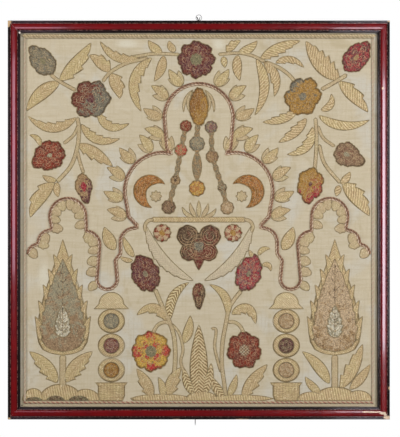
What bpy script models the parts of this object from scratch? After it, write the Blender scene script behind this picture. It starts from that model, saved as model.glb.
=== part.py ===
"""An embroidered niche panel, stretched in a lacquered wooden frame that hangs by a ring on its top rail.

Units are metres, +Z up, and the embroidered face looks along -Y. The origin is the point inside the
hanging ring that bears on a wall hook. Every piece is placed from the middle of the frame, which is
an empty below the origin.
"""

import math
from collections import namedtuple

import bmesh
import bpy
from mathutils import Matrix, Vector

MM = 0.001

# Frame: the outside size, the moulding's width and its depth behind the cloth's middle plane
FRAME_WIDTH = 1060 * MM
FRAME_HEIGHT = 1107 * MM
RAIL_WIDTH = 35 * MM
RAIL_BACK = 12 * MM
BEAD_FRONT = 11 * MM
BAND_CROWN = 13.5 * MM
FILLET_FRONT = 9.5 * MM
SIGHT_EDGE_FRONT = 7.5 * MM
OUTER_BEAD_WIDTH = 6.5 * MM
BAND_START = 8.5 * MM
BAND_END = 26 * MM
INNER_BEAD_START = 28 * MM
BACK_LIP_WIDTH = 33 * MM
ROUND_STEPS = 5

# Cloth: it sits in a slot that runs round the inside of the rails
CLOTH_THICKNESS = 2 * MM
SLOT_BOTTOM = 25 * MM
GAP = 0.3 * MM
MITRE_GAP = 0.15 * MM

# Applied work: padded patches and cords lie on the cloth's face
PATCH_THICKNESS = 2 * MM
BORDER_CORD_RADIUS = 3 * MM
BORDER_CORD_X = 483 * MM
BORDER_CORD_Z = 507 * MM
NICHE_CORD_RADIUS = 2.6 * MM
NICHE_CORD_STEP = 14 * MM

# Hanging ring on the top rail, and the same ring turned edge on below the bottom rail
RING_RADIUS = 7.5 * MM
RING_WIRE_RADIUS = 1.25 * MM
RING_CENTRE_RISE = 9.5 * MM
RING_DEPTH = 6 * MM
SHANK_LENGTH = 12 * MM
SHANK_SLACK = 0.35 * MM
TETHER_X = -10 * MM

LACQUER_RED = ((0.19, 0.012, 0.02), 0.25, 0.0)
GROUND_SILK = ((0.56, 0.49, 0.35), 0.75, 0.0)
GOLD_THREAD = ((0.62, 0.46, 0.22), 0.5, 0.3)
NICHE_SILK = ((0.26, 0.13, 0.1), 0.7, 0.0)
STEEL_WIRE = ((0.35, 0.36, 0.36), 0.35, 1.0)
PURPLE_SILK = ((0.17, 0.07, 0.1), 0.8, 0.0)
CRIMSON_SILK = ((0.29, 0.05, 0.08), 0.8, 0.0)
RED_SILK = ((0.33, 0.06, 0.05), 0.8, 0.0)
ORANGE_SILK = ((0.42, 0.2, 0.07), 0.8, 0.0)
YELLOW_SILK = ((0.55, 0.36, 0.12), 0.8, 0.0)
GREY_SILK = ((0.24, 0.22, 0.17), 0.8, 0.0)
BROWN_SILK = ((0.22, 0.14, 0.1), 0.8, 0.0)

# A scalloped patch: its middle, half width and half height, petals, depth of the notches between
# them, how far its tip is drawn out, and the way the tip leans, in degrees from upright
Bloom = namedtuple("Bloom", "name x z half_width half_height petals notch tip lean thread")
BLOOMS = (
    Bloom("blossom_top", -7, 446, 53, 53, 8, 0.16, 0.0, 0, PURPLE_SILK),
    Bloom("blossom_left", -300, 336, 56, 54, 6, 0.2, 0.0, 30, PURPLE_SILK),
    Bloom("blossom_right", 289, 343, 50, 57, 6, 0.2, 0.0, -30, ORANGE_SILK),
    Bloom("bud_corner_left", -433, 440, 33, 44, 6, 0.1, 0.28, 40, GREY_SILK),
    Bloom("bud_corner_right", 437, 451, 34, 47, 6, 0.1, 0.2, -40, CRIMSON_SILK),
    Bloom("blossom_side_left", -414, 180, 42, 44, 7, 0.12, 0.3, 120, RED_SILK),
    Bloom("blossom_side_right", 409, 183, 35, 34, 7, 0.12, 0.7, -117, BROWN_SILK),
    Bloom("bud_low_left", -320, 94, 24, 36, 4, 0.14, 0.4, 190, PURPLE_SILK),
    Bloom("bud_low_right", 310, 100, 38, 47, 6, 0.18, 0.2, -190, RED_SILK),
    Bloom("rosette_bowl_left", -102, -36, 25, 25, 12, 0.1, 0.0, 0, RED_SILK),
    Bloom("rosette_bowl_right", 95, -36, 25, 25, 12, 0.1, 0.0, 0, RED_SILK),
    Bloom("flower_upper_left", -148, -150, 40, 52, 8, 0.12, 0.1, 22, PURPLE_SILK),
    Bloom("flower_upper_right", 138, -150, 36, 51, 8, 0.12, 0.15, -22, CRIMSON_SILK),
    Bloom("flower_lower_left", -133, -365, 54, 57, 8, 0.12, 0.0, 0, YELLOW_SILK),
    Bloom("flower_lower_right", 126, -362, 49, 53, 7, 0.18, 0.0, 0, RED_SILK),
    Bloom("pendant_drop", 0, -204, 18, 30, 3, 0.06, 0.5, 180, BROWN_SILK),
    Bloom("lamp", 0, 314, 27, 54, 4, 0.08, 0.0, 0, ORANGE_SILK),
)
BLOOM_STEPS = 6
BLOOM_MOST_POINTS = 48
TIP_SHARPNESS = 8

# The palmette under the bowl: round lobes about its own middle, and the point at its foot
Lobe = namedtuple("Lobe", "x z radius")
PALMETTE_Z = -75
PALMETTE_LOBES = (Lobe(0, 0, 40), Lobe(31, 31, 30), Lobe(-31, 31, 30), Lobe(27, -14, 25), Lobe(-27, -14, 25))
PALMETTE_POINT = 64
PALMETTE_POINT_SPREAD = math.radians(52)

# Side pairs, given for the right-hand side
COLUMN_X = 243
CAPITAL_Z, CAPITAL_HALF_WIDTH, CAPITAL_HEIGHT = -247, 48, 46
ROUNDEL_HALF_WIDTH, ROUNDEL_HALF_HEIGHT = 37, 33
ROUNDEL_Z = (-281, -349, -417)
URN_Z, URN_TOP, URN_BOTTOM, URN_HEIGHT = -503, 37, 31, 51
CYPRESS_X, CYPRESS_Z, CYPRESS_HALF_WIDTH, CYPRESS_HEIGHT = 378, -376, 80, 322
CRESCENT_X, CRESCENT_Z, CRESCENT_RADIUS = 136, 80, 46
CRESCENT_BITE, CRESCENT_SHIFT, CRESCENT_OPENS = 37, 28, math.radians(209)
BOWL_RIM_Z, BOWL_RIM_HALF_WIDTH, BOWL_RIM_HEIGHT = 1, 132, 13
SWAG_START, SWAG_END, SWAG_SAG, SWAG_WIDTH = (147, -16), (16, -168), 26, 30

# The niche cord's right half, from the crown down: arcs by centre, radius and the angles where they
# start and end. Straight stretches join them, and a radius of 0 is a point.
Arc = namedtuple("Arc", "x z radius start end")
NICHE = (
    Arc(0, 283, 98, 90, 0),
    Arc(90, 196, 0, 0, 0),
    Arc(77, 186, 0, 0, 0),
    Arc(98, 80, 110, 90, -14),
    Arc(197, 8, 0, 0, 0),
    Arc(172, -18, 0, 0, 0),
    Arc(178, -62, 42, 78, 0),
    Arc(220, -92, 0, 0, 0),
    Arc(234, -112, 0, 0, 0),
    Arc(255, -164, 26, 168, 372),
    Arc(314, -70, 41, 180, 94),
    Arc(311, -8, 0, 0, 0),
    Arc(364, 10, 52, 184, -8),
    Arc(410, -24, 0, 0, 0),
    Arc(412, -62, 36, 80, 0),
    Arc(448, -94, 28, 80, 0),
)

PANEL_DEPTH = CLOTH_THICKNESS / 2 + GAP


def material(name, finish):
    """A Principled material from a colour, a roughness and a metallic value."""
    colour, roughness, metallic = finish
    made = bpy.data.materials.get(name) or bpy.data.materials.new(name)
    made.use_nodes = True
    shader = made.node_tree.nodes["Principled BSDF"]
    shader.inputs["Base Color"].default_value = (*colour, 1)
    shader.inputs["Roughness"].default_value = roughness
    shader.inputs["Metallic"].default_value = metallic
    return made


def place(obj, holder, name, slot, finish):
    """Names a piece, links it under the frame's middle and gives it its material."""
    obj.name = name
    holder["pieces"].objects.link(obj)
    obj.parent = holder["middle"]
    obj.data.materials.append(material(slot, finish))
    return obj


def outline_curve(points, thickness):
    """A flat filled outline, given in x and z, as a curve that stands upright when turned by 90 degrees."""
    curve = bpy.data.curves.new("outline", "CURVE")
    curve.dimensions = "2D"
    curve.fill_mode = "BOTH"
    curve.extrude = thickness / 2
    spline = curve.splines.new("POLY")
    spline.points.add(len(points) - 1)
    for point, (x, z) in zip(spline.points, points):
        point.co = (x, z, 0, 1)
    spline.use_cyclic_u = True
    return curve


def mesh_from_curve(curve):
    """A closed mesh of a curve, with the edges of its faces and sides welded."""
    helper = bpy.data.objects.new("helper", curve)
    bpy.context.scene.collection.objects.link(helper)
    bpy.context.view_layer.update()
    evaluated = helper.evaluated_get(bpy.context.evaluated_depsgraph_get())
    mesh = bpy.data.meshes.new_from_object(evaluated)
    shape = bmesh.new()
    shape.from_mesh(mesh)
    bmesh.ops.remove_doubles(shape, verts=shape.verts, dist=0.01 * MM)
    shape.to_mesh(mesh)
    shape.free()
    bpy.data.objects.remove(helper)
    return mesh


def round_over(centre, radius_u, radius_y, start, end):
    """Points of a quarter or half ellipse in the moulding's section."""
    angles = [math.radians(start + (end - start) * i / ROUND_STEPS) for i in range(ROUND_STEPS + 1)]
    return [(centre[0] + radius_u * math.cos(a), centre[1] - radius_y * math.sin(a)) for a in angles]


def moulding_section():
    """The rail's section: distance in from the outer edge, and depth with the front negative."""
    bead_middle = OUTER_BEAD_WIDTH / 2
    inner_middle = (INNER_BEAD_START + RAIL_WIDTH) / 2
    inner_radius = (RAIL_WIDTH - INNER_BEAD_START) / 2
    band_middle = (BAND_START + BAND_END) / 2
    band_radius = (BAND_END - BAND_START) / 2
    bead_rise = BEAD_FRONT - SIGHT_EDGE_FRONT
    slot = PANEL_DEPTH
    return (
        [(0, RAIL_BACK)]
        + round_over((bead_middle, -SIGHT_EDGE_FRONT), bead_middle, bead_rise, 180, 90)
        + [(OUTER_BEAD_WIDTH, -FILLET_FRONT)]
        + round_over((band_middle, -FILLET_FRONT), band_radius, BAND_CROWN - FILLET_FRONT, 180, 0)
        + [(INNER_BEAD_START, -FILLET_FRONT)]
        + round_over((inner_middle, -SIGHT_EDGE_FRONT), inner_radius, bead_rise, 90, 0)
        + [(RAIL_WIDTH, -slot), (SLOT_BOTTOM, -slot), (SLOT_BOTTOM, slot)]
        + [(BACK_LIP_WIDTH, slot), (BACK_LIP_WIDTH, RAIL_BACK)]
    )


def mitred_rail(length):
    """A rail along its own Z, with its outer edge at x = 0 and both ends cut at 45 degrees."""
    mesh = mesh_from_curve(outline_curve(moulding_section(), length + RAIL_WIDTH))
    shape = bmesh.new()
    shape.from_mesh(mesh)
    for side in (1, -1):
        cut = bmesh.ops.bisect_plane(
            shape,
            geom=shape.verts[:] + shape.edges[:] + shape.faces[:],
            dist=0.001 * MM,
            plane_co=(0, 0, side * (length / 2 - MITRE_GAP)),
            plane_no=(1, 0, side),
            clear_outer=True,
        )
        rim = [e for e in cut["geom_cut"] if isinstance(e, bmesh.types.BMEdge)]
        bmesh.ops.triangle_fill(shape, edges=rim, use_beauty=True)
    bmesh.ops.recalc_face_normals(shape, faces=shape.faces[:])
    shape.to_mesh(mesh)
    shape.free()
    return mesh


def rails(holder):
    """Four mitred rails. Each row is a name, the rail's length, the way in across it and its outer edge."""
    half_width, half_height = FRAME_WIDTH / 2, FRAME_HEIGHT / 2
    rows = (
        ("rail_left", FRAME_HEIGHT, Vector((1, 0, 0)), half_width),
        ("rail_right", FRAME_HEIGHT, Vector((-1, 0, 0)), half_width),
        ("rail_top", FRAME_WIDTH, Vector((0, 0, -1)), half_height),
        ("rail_bottom", FRAME_WIDTH, Vector((0, 0, 1)), half_height),
    )
    back = Vector((0, 1, 0))
    for name, length, inward, half in rows:
        rail = bpy.data.objects.new(name, mitred_rail(length))
        place(rail, holder, name, "lacquered_wood", LACQUER_RED)
        turn = Matrix((inward, back, inward.cross(back))).transposed()
        rail.rotation_euler = turn.to_euler()
        rail.location = -half * inward


def cloth(holder):
    """The stretched ground cloth, whose edges lie in the rails' slot."""
    bpy.ops.mesh.primitive_cube_add(size=1)
    panel = bpy.context.object
    bpy.context.collection.objects.unlink(panel)
    reach = 2 * (SLOT_BOTTOM + GAP)
    size = (FRAME_WIDTH - reach, CLOTH_THICKNESS, FRAME_HEIGHT - reach)
    panel.data.transform(Matrix.Diagonal((*size, 1)))
    place(panel, holder, "ground_cloth", "ground_silk", GROUND_SILK)


def patch(holder, name, points, slot, finish, x=0, z=0):
    """A padded patch on the cloth's face, from an outline in millimetres about its own middle."""
    curve = outline_curve([(u * MM, v * MM) for u, v in points], PATCH_THICKNESS)
    obj = place(bpy.data.objects.new(name, curve), holder, name, slot, finish)
    obj.rotation_euler = (math.radians(90), 0, 0)
    obj.location = (x * MM, -(PANEL_DEPTH + PATCH_THICKNESS / 2), z * MM)


def turned(points, degrees):
    """Points turned about their middle, counter-clockwise as seen from the front."""
    c, s = math.cos(math.radians(degrees)), math.sin(math.radians(degrees))
    return [(c * u - s * v, s * u + c * v) for u, v in points]


def scalloped(bloom):
    """The outline of a blossom or bud: an ellipse with notches between its petals, one of them the tip."""
    count = min(bloom.petals * BLOOM_STEPS, BLOOM_MOST_POINTS)
    points = []
    for i in range(count):
        angle = math.pi / 2 + 2 * math.pi * i / count
        reach = 1 - bloom.notch * (1 - abs(math.cos(bloom.petals * math.pi * i / count)))
        reach += bloom.tip * max(0.0, math.sin(angle)) ** TIP_SHARPNESS
        points.append((bloom.half_width * reach * math.cos(angle), bloom.half_height * reach * math.sin(angle)))
    return turned(points, bloom.lean)


def blooms(holder):
    for bloom in BLOOMS:
        slot = "silk_" + bloom.name
        patch(holder, bloom.name, scalloped(bloom), slot, bloom.thread, bloom.x, bloom.z)
    patch(holder, "palmette", palmette_outline(), "silk_palmette", BROWN_SILK, 0, PALMETTE_Z)


def palmette_outline(steps=60):
    """Two wide lobes over two smaller ones, with a point at the foot."""
    points = []
    for i in range(steps):
        angle = 2 * math.pi * i / steps
        c, s = math.cos(angle), math.sin(angle)
        reach = PALMETTE_POINT * (1 - abs(angle - 1.5 * math.pi) / PALMETTE_POINT_SPREAD)
        for lobe in PALMETTE_LOBES:
            beside = lobe.x * s - lobe.z * c
            if abs(beside) < lobe.radius:
                reach = max(reach, lobe.x * c + lobe.z * s + math.sqrt(lobe.radius**2 - beside**2))
        points.append((reach * c, reach * s))
    return points


def cypress_outline(steps=13):
    """A flame: widest a quarter of the way up, and drawn to a point at the top."""
    rise = [i / steps for i in range(steps + 1)]
    side = [(CYPRESS_HALF_WIDTH * math.sin(math.pi * t**0.48), CYPRESS_HEIGHT * t) for t in rise]
    return side + [(-u, v) for u, v in side[-2:0:-1]]


def capital_outline(steps=9):
    """A dome over two flared corners."""
    waist = 0.72 * CAPITAL_HALF_WIDTH
    angles = [math.pi * i / steps for i in range(steps + 1)]
    dome = [(waist * math.cos(a), CAPITAL_HEIGHT * (0.3 + 0.7 * math.sin(a))) for a in angles]
    return [(-CAPITAL_HALF_WIDTH, 0), (CAPITAL_HALF_WIDTH, 0)] + dome


def urn_outline():
    """A tub with a flared lip."""
    lip = 1.25 * URN_TOP
    half = [(URN_BOTTOM, 0), (URN_TOP, 0.3 * URN_HEIGHT), (URN_TOP, 0.85 * URN_HEIGHT), (lip, URN_HEIGHT)]
    return half + [(-u, v) for u, v in reversed(half)]


def ellipse_outline(half_width, half_height, steps=24):
    angles = [2 * math.pi * i / steps for i in range(steps)]
    return [(half_width * math.cos(a), half_height * math.sin(a)) for a in angles]


def crescent_outline(steps=14):
    """A disc with a smaller one bitten out of it, down and towards the middle, on the right-hand side."""
    radius, bite, shift, opens = CRESCENT_RADIUS, CRESCENT_BITE, CRESCENT_SHIFT, CRESCENT_OPENS
    outer_half = math.acos((radius**2 + shift**2 - bite**2) / (2 * radius * shift))
    inner_half = math.acos((bite**2 + shift**2 - radius**2) / (2 * bite * shift))
    points = []
    for i in range(steps + 1):
        angle = opens + outer_half + 2 * (math.pi - outer_half) * i / steps
        points.append((radius * math.cos(angle), radius * math.sin(angle)))
    for i in range(1, steps):
        angle = opens + math.pi + inner_half * (1 - 2 * i / steps)
        x, z = shift * math.cos(opens), shift * math.sin(opens)
        points.append((x + bite * math.cos(angle), z + bite * math.sin(angle)))
    return points


def swag_outline(steps=10):
    """A leaf that sweeps from the bowl's rim down to its foot, bowed outwards."""
    start, end = Vector(SWAG_START), Vector(SWAG_END)
    along = (end - start).normalized()
    across = Vector((-along.y, along.x))
    edges = ([], [])
    for i in range(steps + 1):
        t = i / steps
        middle = start.lerp(end, t) + across * SWAG_SAG * math.sin(math.pi * t)
        half = 2 + (SWAG_WIDTH / 2 - 2) * math.sin(math.pi * t) ** 0.7
        edges[0].append(tuple(middle + across * half))
        edges[1].append(tuple(middle - across * half))
    return edges[0] + edges[1][::-1]


def mirrored(points):
    return [(-u, v) for u, v in reversed(points)]


def side_pairs(holder):
    """The patches that stand on both sides of the niche, made for the right and mirrored."""
    for side, flip, sign in (("left", mirrored, -1), ("right", list, 1)):
        column = sign * COLUMN_X
        patch(holder, f"capital_{side}", flip(capital_outline()), "gold_thread", GOLD_THREAD, column, CAPITAL_Z)
        patch(holder, f"urn_{side}", flip(urn_outline()), "gold_thread", GOLD_THREAD, column, URN_Z)
        for number, height in enumerate(ROUNDEL_Z, start=1):
            name = f"roundel_{side}_{number}"
            disc = ellipse_outline(ROUNDEL_HALF_WIDTH, ROUNDEL_HALF_HEIGHT)
            patch(holder, name, disc, "gold_thread", GOLD_THREAD, column, height)
        cypress = flip(cypress_outline())
        patch(holder, f"cypress_{side}", cypress, "silk_cypress", GREY_SILK, sign * CYPRESS_X, CYPRESS_Z)
        moon = flip(crescent_outline())
        patch(holder, f"crescent_{side}", moon, "silk_crescent", ORANGE_SILK, sign * CRESCENT_X, CRESCENT_Z)
        patch(holder, f"bowl_swag_{side}", flip(swag_outline()), "gold_thread", GOLD_THREAD)
    rim, rise = BOWL_RIM_HALF_WIDTH, BOWL_RIM_HEIGHT / 2
    corners = [(-rim, -rise), (rim, -rise), (rim - rise, rise), (rise - rim, rise)]
    patch(holder, "bowl_rim", corners, "gold_thread", GOLD_THREAD, 0, BOWL_RIM_Z)


def laid_cord(holder, name, points, radius, slot, finish):
    """A round cord laid on the cloth's face along points given in x and z, in metres."""
    curve = bpy.data.curves.new(name, "CURVE")
    curve.dimensions = "3D"
    curve.bevel_depth = radius
    curve.bevel_resolution = 1
    curve.use_fill_caps = True
    spline = curve.splines.new("POLY")
    spline.points.add(len(points) - 1)
    for point, (x, z) in zip(spline.points, points):
        point.co = (x, -(PANEL_DEPTH + radius), z, 1)
    place(bpy.data.objects.new(name, curve), holder, name, slot, finish)


def border_cords(holder):
    """Four straight cords, the upright ones between the level ones."""
    half_width, half_height = BORDER_CORD_X, BORDER_CORD_Z
    level = half_width + BORDER_CORD_RADIUS
    upright = half_height - BORDER_CORD_RADIUS - GAP
    rows = (
        ("border_cord_top", (-level, half_height), (level, half_height)),
        ("border_cord_bottom", (-level, -half_height), (level, -half_height)),
        ("border_cord_left", (-half_width, -upright), (-half_width, upright)),
        ("border_cord_right", (half_width, -upright), (half_width, upright)),
    )
    for name, start, end in rows:
        laid_cord(holder, name, (start, end), BORDER_CORD_RADIUS, "border_cord", GOLD_THREAD)


def niche_line():
    """The niche cord's points from the crown to the right-hand border, in metres."""
    points = []
    for arc in NICHE:
        sweep = math.radians(arc.end - arc.start)
        steps = max(1, round(abs(sweep) * arc.radius * MM / NICHE_CORD_STEP)) if arc.radius else 0
        for i in range(steps + 1):
            angle = math.radians(arc.start) + (sweep * i / steps if steps else 0)
            points.append(((arc.x + arc.radius * math.cos(angle)) * MM, (arc.z + arc.radius * math.sin(angle)) * MM))
    return points


def niche_cord(holder):
    """One cord that outlines the niche and both side arches, from border to border."""
    right = niche_line()
    left = [(-x, z) for x, z in reversed(right[1:])]
    laid_cord(holder, "niche_cord", left + right, NICHE_CORD_RADIUS, "niche_cord", NICHE_SILK)


def joined(target, others, operation):
    """Booleans each of the others into the target, applies them and removes the others."""
    for other in others:
        change = target.modifiers.new("join", "BOOLEAN")
        change.operation = operation
        change.object = other
        bpy.context.view_layer.update()
        evaluated = target.evaluated_get(bpy.context.evaluated_depsgraph_get())
        mesh = bpy.data.meshes.new_from_object(evaluated)
        target.modifiers.clear()
        target.data = mesh
        bpy.data.objects.remove(other)


def screw_eye(holder, name, x, upwards, turn):
    """A wire ring on a shank, and the hole for it in the rail. The ring stands at RING_DEPTH."""
    foot = upwards * FRAME_HEIGHT / 2
    centre = foot + upwards * RING_CENTRE_RISE
    bpy.ops.mesh.primitive_torus_add(
        major_radius=RING_RADIUS, minor_radius=RING_WIRE_RADIUS, major_segments=24, minor_segments=8,
        location=(x, RING_DEPTH, centre), rotation=(math.radians(90), 0, turn),
    )
    ring = bpy.context.object
    inner = foot - upwards * SHANK_LENGTH
    outer = centre - upwards * RING_RADIUS
    middle = (x, RING_DEPTH, (inner + outer) / 2)
    bpy.ops.mesh.primitive_cylinder_add(
        vertices=10, radius=RING_WIRE_RADIUS, depth=abs(outer - inner), location=middle
    )
    shank = bpy.context.object
    joined(ring, [shank], "UNION")
    ring.data.materials.clear()
    bpy.context.collection.objects.unlink(ring)
    place(ring, holder, name, "steel_wire", STEEL_WIRE)
    bpy.ops.mesh.primitive_cylinder_add(
        vertices=12, radius=RING_WIRE_RADIUS + SHANK_SLACK, depth=2 * (SHANK_LENGTH + SHANK_SLACK),
        location=(x, RING_DEPTH, foot),
    )
    return bpy.context.object


def bore_rail(holder, rail_name, bore):
    """Cuts a screw eye's hole into a rail, with the bore placed about the frame's middle."""
    rail = bpy.data.objects[rail_name]
    bore.parent = holder["middle"]
    bpy.context.view_layer.update()
    joined(rail, [bore], "DIFFERENCE")


def main():
    for obj in list(bpy.data.objects):
        bpy.data.objects.remove(obj)
    pieces = bpy.data.collections.new("embroidered_panel")
    bpy.context.scene.collection.children.link(pieces)
    middle = bpy.data.objects.new("frame_middle", None)
    pieces.objects.link(middle)
    drop = FRAME_HEIGHT / 2 + RING_CENTRE_RISE + RING_RADIUS - RING_WIRE_RADIUS
    middle.location = (0, -RING_DEPTH, -drop)
    holder = {"pieces": pieces, "middle": middle}
    rails(holder)
    cloth(holder)
    border_cords(holder)
    niche_cord(holder)
    blooms(holder)
    side_pairs(holder)
    bore_rail(holder, "rail_top", screw_eye(holder, "hanging_ring", 0, 1, 0))
    bore_rail(holder, "rail_bottom", screw_eye(holder, "tether_ring", TETHER_X, -1, math.radians(90)))


main()
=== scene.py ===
import math
from collections import namedtuple

import bpy
import numpy as np
from bpy.props import FloatProperty, FloatVectorProperty, PointerProperty
from mathutils import Matrix, Vector


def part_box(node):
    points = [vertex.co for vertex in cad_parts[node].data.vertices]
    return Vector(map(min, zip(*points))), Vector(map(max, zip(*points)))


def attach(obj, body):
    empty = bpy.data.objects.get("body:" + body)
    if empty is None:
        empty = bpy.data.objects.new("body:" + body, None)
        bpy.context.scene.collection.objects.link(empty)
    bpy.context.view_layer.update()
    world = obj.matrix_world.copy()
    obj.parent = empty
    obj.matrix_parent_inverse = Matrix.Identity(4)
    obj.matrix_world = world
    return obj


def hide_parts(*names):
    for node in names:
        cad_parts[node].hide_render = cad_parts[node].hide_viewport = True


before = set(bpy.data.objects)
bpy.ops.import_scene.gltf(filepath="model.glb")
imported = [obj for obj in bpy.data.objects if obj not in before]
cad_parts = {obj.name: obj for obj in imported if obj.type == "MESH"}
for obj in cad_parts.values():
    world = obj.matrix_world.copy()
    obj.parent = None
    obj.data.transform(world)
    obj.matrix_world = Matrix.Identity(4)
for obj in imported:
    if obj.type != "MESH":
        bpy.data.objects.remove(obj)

bl_info = {
    "name": "Embroidered niche panel",
    "version": (1, 0, 0),
    "blender": (4, 5, 0),
    "location": "View3D > Sidebar > Embroidery",
    "description": "Sews a niche panel in silk and metal thread and frames it",
    "category": "Add Mesh",
}

MM = 0.001
# The pieces' own maps are in centimetres
MAP_UNIT = 10 * MM

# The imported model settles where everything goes. Flat places below are in millimetres from the
# middle of the cloth, x to the right and z up, and rise is the height above the cloth's face.
CLOTH_LOW, CLOTH_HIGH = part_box("ground_cloth")
CLOTH_MIDDLE = (CLOTH_LOW + CLOTH_HIGH) / 2
FACE_Y = CLOTH_LOW.y
FRAME_LOW = Vector((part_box("rail_left")[0].x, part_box("rail_left")[0].y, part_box("rail_bottom")[0].z))
FRAME_HIGH = Vector((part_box("rail_right")[1].x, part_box("rail_left")[1].y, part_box("rail_top")[1].z))
FRAME_WIDTH = FRAME_HIGH.x - FRAME_LOW.x
FRAME_HEIGHT = FRAME_HIGH.z - FRAME_LOW.z
RAIL_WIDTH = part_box("rail_left")[1].x - FRAME_LOW.x
BURIED = -0.6

# The photograph's frame: its size in pixels, and where the frame's middle is in it
PHOTO_WIDTH, PHOTO_HEIGHT = 400, 437
PHOTO_FRAME_MIDDLE = (198.8, 220.0)
PHOTO_FRAME_TALL = 399.6


def tint(red, green, blue):
    """A colour as a picture shows it, from 0 to 255, as the linear values that shaders take."""
    return tuple(((c / 255 + 0.055) / 1.055) ** 2.4 if c > 10 else c / 3294.6 for c in (red, green, blue))


def length_of(name, description, millimetres):
    return FloatProperty(
        name=name, description=description, default=millimetres * MM, unit="LENGTH", precision=5
    )


def colour_of(name, description, red, green, blue):
    start = tint(red, green, blue)
    return FloatVectorProperty(
        name=name, description=description, default=start, subtype="COLOR", size=3, min=0, max=1
    )


class SewingSizes(bpy.types.PropertyGroup):
    leaf_rise: length_of("Leaf rise", "How far the couched leaves stand above the cloth", 1.7)
    silk_rise: length_of("Silk rise", "How far the looped silk stands above the cloth", 2.3)
    outline_radius: length_of("Outline", "Radius of the thread laid round each shape", 0.95)
    stitch_pitch: length_of("Stitch rows", "Distance between rows of stitches on the metal thread", 6.2)
    loop_cell: length_of("Silk loops", "Size of the loops of the silk", 2.6)
    niche_cord_radius: length_of("Niche cord", "Radius of the cord round the niche", 2.8)
    niche_cord_pitch: length_of("Niche cord twist", "Length of one turn of the niche cord", 8.5)
    border_cord_radius: length_of("Border cord", "Radius of the cords along the edges", 3.1)
    border_cord_pitch: length_of("Border cord twist", "Length of one turn of the border cords", 13)
    cloth_unevenness: length_of("Unevenness", "How far the stretched cloth leaves its plane", 0.45)


class SewingColours(bpy.types.PropertyGroup):
    ground: colour_of("Ground", "The stretched cloth", 197, 184, 158)
    ground_pale: colour_of("Pale ground", "Rubbed places of the cloth", 208, 198, 176)
    ground_silver: colour_of("Grey ground", "Faded places of the cloth", 198, 192, 178)
    ground_stain: colour_of("Stained ground", "Aged places of the cloth", 182, 167, 136)
    gold: colour_of("Gold", "Metal thread", 200, 178, 129)
    gold_pink: colour_of("Old gold", "Metal thread where its silk core shows", 195, 168, 125)
    # Gold glint is painted highlight: sparkles, the crests of the stitch rows and scattered specks of metal
    # thread are lightened towards it; the capitals' gold is also mixed a little towards it to make it paler.
    gold_glint: colour_of("Gold glint", "Metal thread that is rubbed bright", 244, 230, 190)
    # Gold shadow is painted shade: the hollows between stitch rows, dark specks between threads, the shapes'
    # edges and their midribs are darkened towards it.
    gold_shadow: colour_of("Gold shadow", "Between rows of metal thread", 136, 112, 74)
    outline: colour_of("Outline", "The dark thread round each shape", 128, 112, 82)
    outline_faded: colour_of("Faded outline", "Where the dark thread has faded", 166, 148, 112)
    cord_brown: colour_of("Cord silk", "Silk strand of the niche cord", 136, 100, 78)
    cord_glint: colour_of("Cord metal", "Metal strand of the niche cord", 184, 148, 122)
    border_grey: colour_of("Border silk", "Silk strand of the border cords", 190, 178, 152)
    lacquer: colour_of("Lacquer", "Red band of the moulding", 114, 4, 8)
    lacquer_black: colour_of("Black lacquer", "Beads of the moulding", 14, 9, 10)
    lacquer_line: colour_of("Line", "Worn line between band and beads", 128, 92, 84)
    bare_wood: colour_of("Bare wood", "Wood under the lacquer", 205, 172, 132)
    wire: colour_of("Wire", "Plated wire of the rings", 96, 100, 98)


# Silk threads by name: the colours that the blossoms, beads and cypresses are worked in
THREADS = {
    "plum": tint(100, 52, 62),
    "mauve": tint(134, 90, 92),
    "wine": tint(114, 48, 44),
    "crimson": tint(166, 34, 60),
    "red": tint(142, 46, 34),
    "scarlet": tint(194, 52, 54),
    "salmon": tint(196, 128, 102),
    "orange": tint(188, 124, 62),
    "ochre": tint(178, 134, 62),
    "amber": tint(148, 100, 44),
    "yellow": tint(214, 172, 78),
    "tan": tint(168, 136, 96),
    "brown": tint(134, 104, 82),
    "hazel": tint(156, 128, 98),
    "sand": tint(206, 180, 146),
    "umber": tint(84, 64, 50),
    "slate": tint(120, 118, 104),
    "grey": tint(136, 126, 102),
    "sage": tint(128, 124, 94),
    "mist": tint(160, 152, 126),
    "ivory": tint(224, 216, 192),
    "thread_pale": tint(200, 174, 136),
    "thread_dark": tint(66, 46, 34),
}


def sizes():
    return bpy.context.scene.sewing_sizes


def colours():
    return bpy.context.scene.sewing_colours


# Materials


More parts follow.
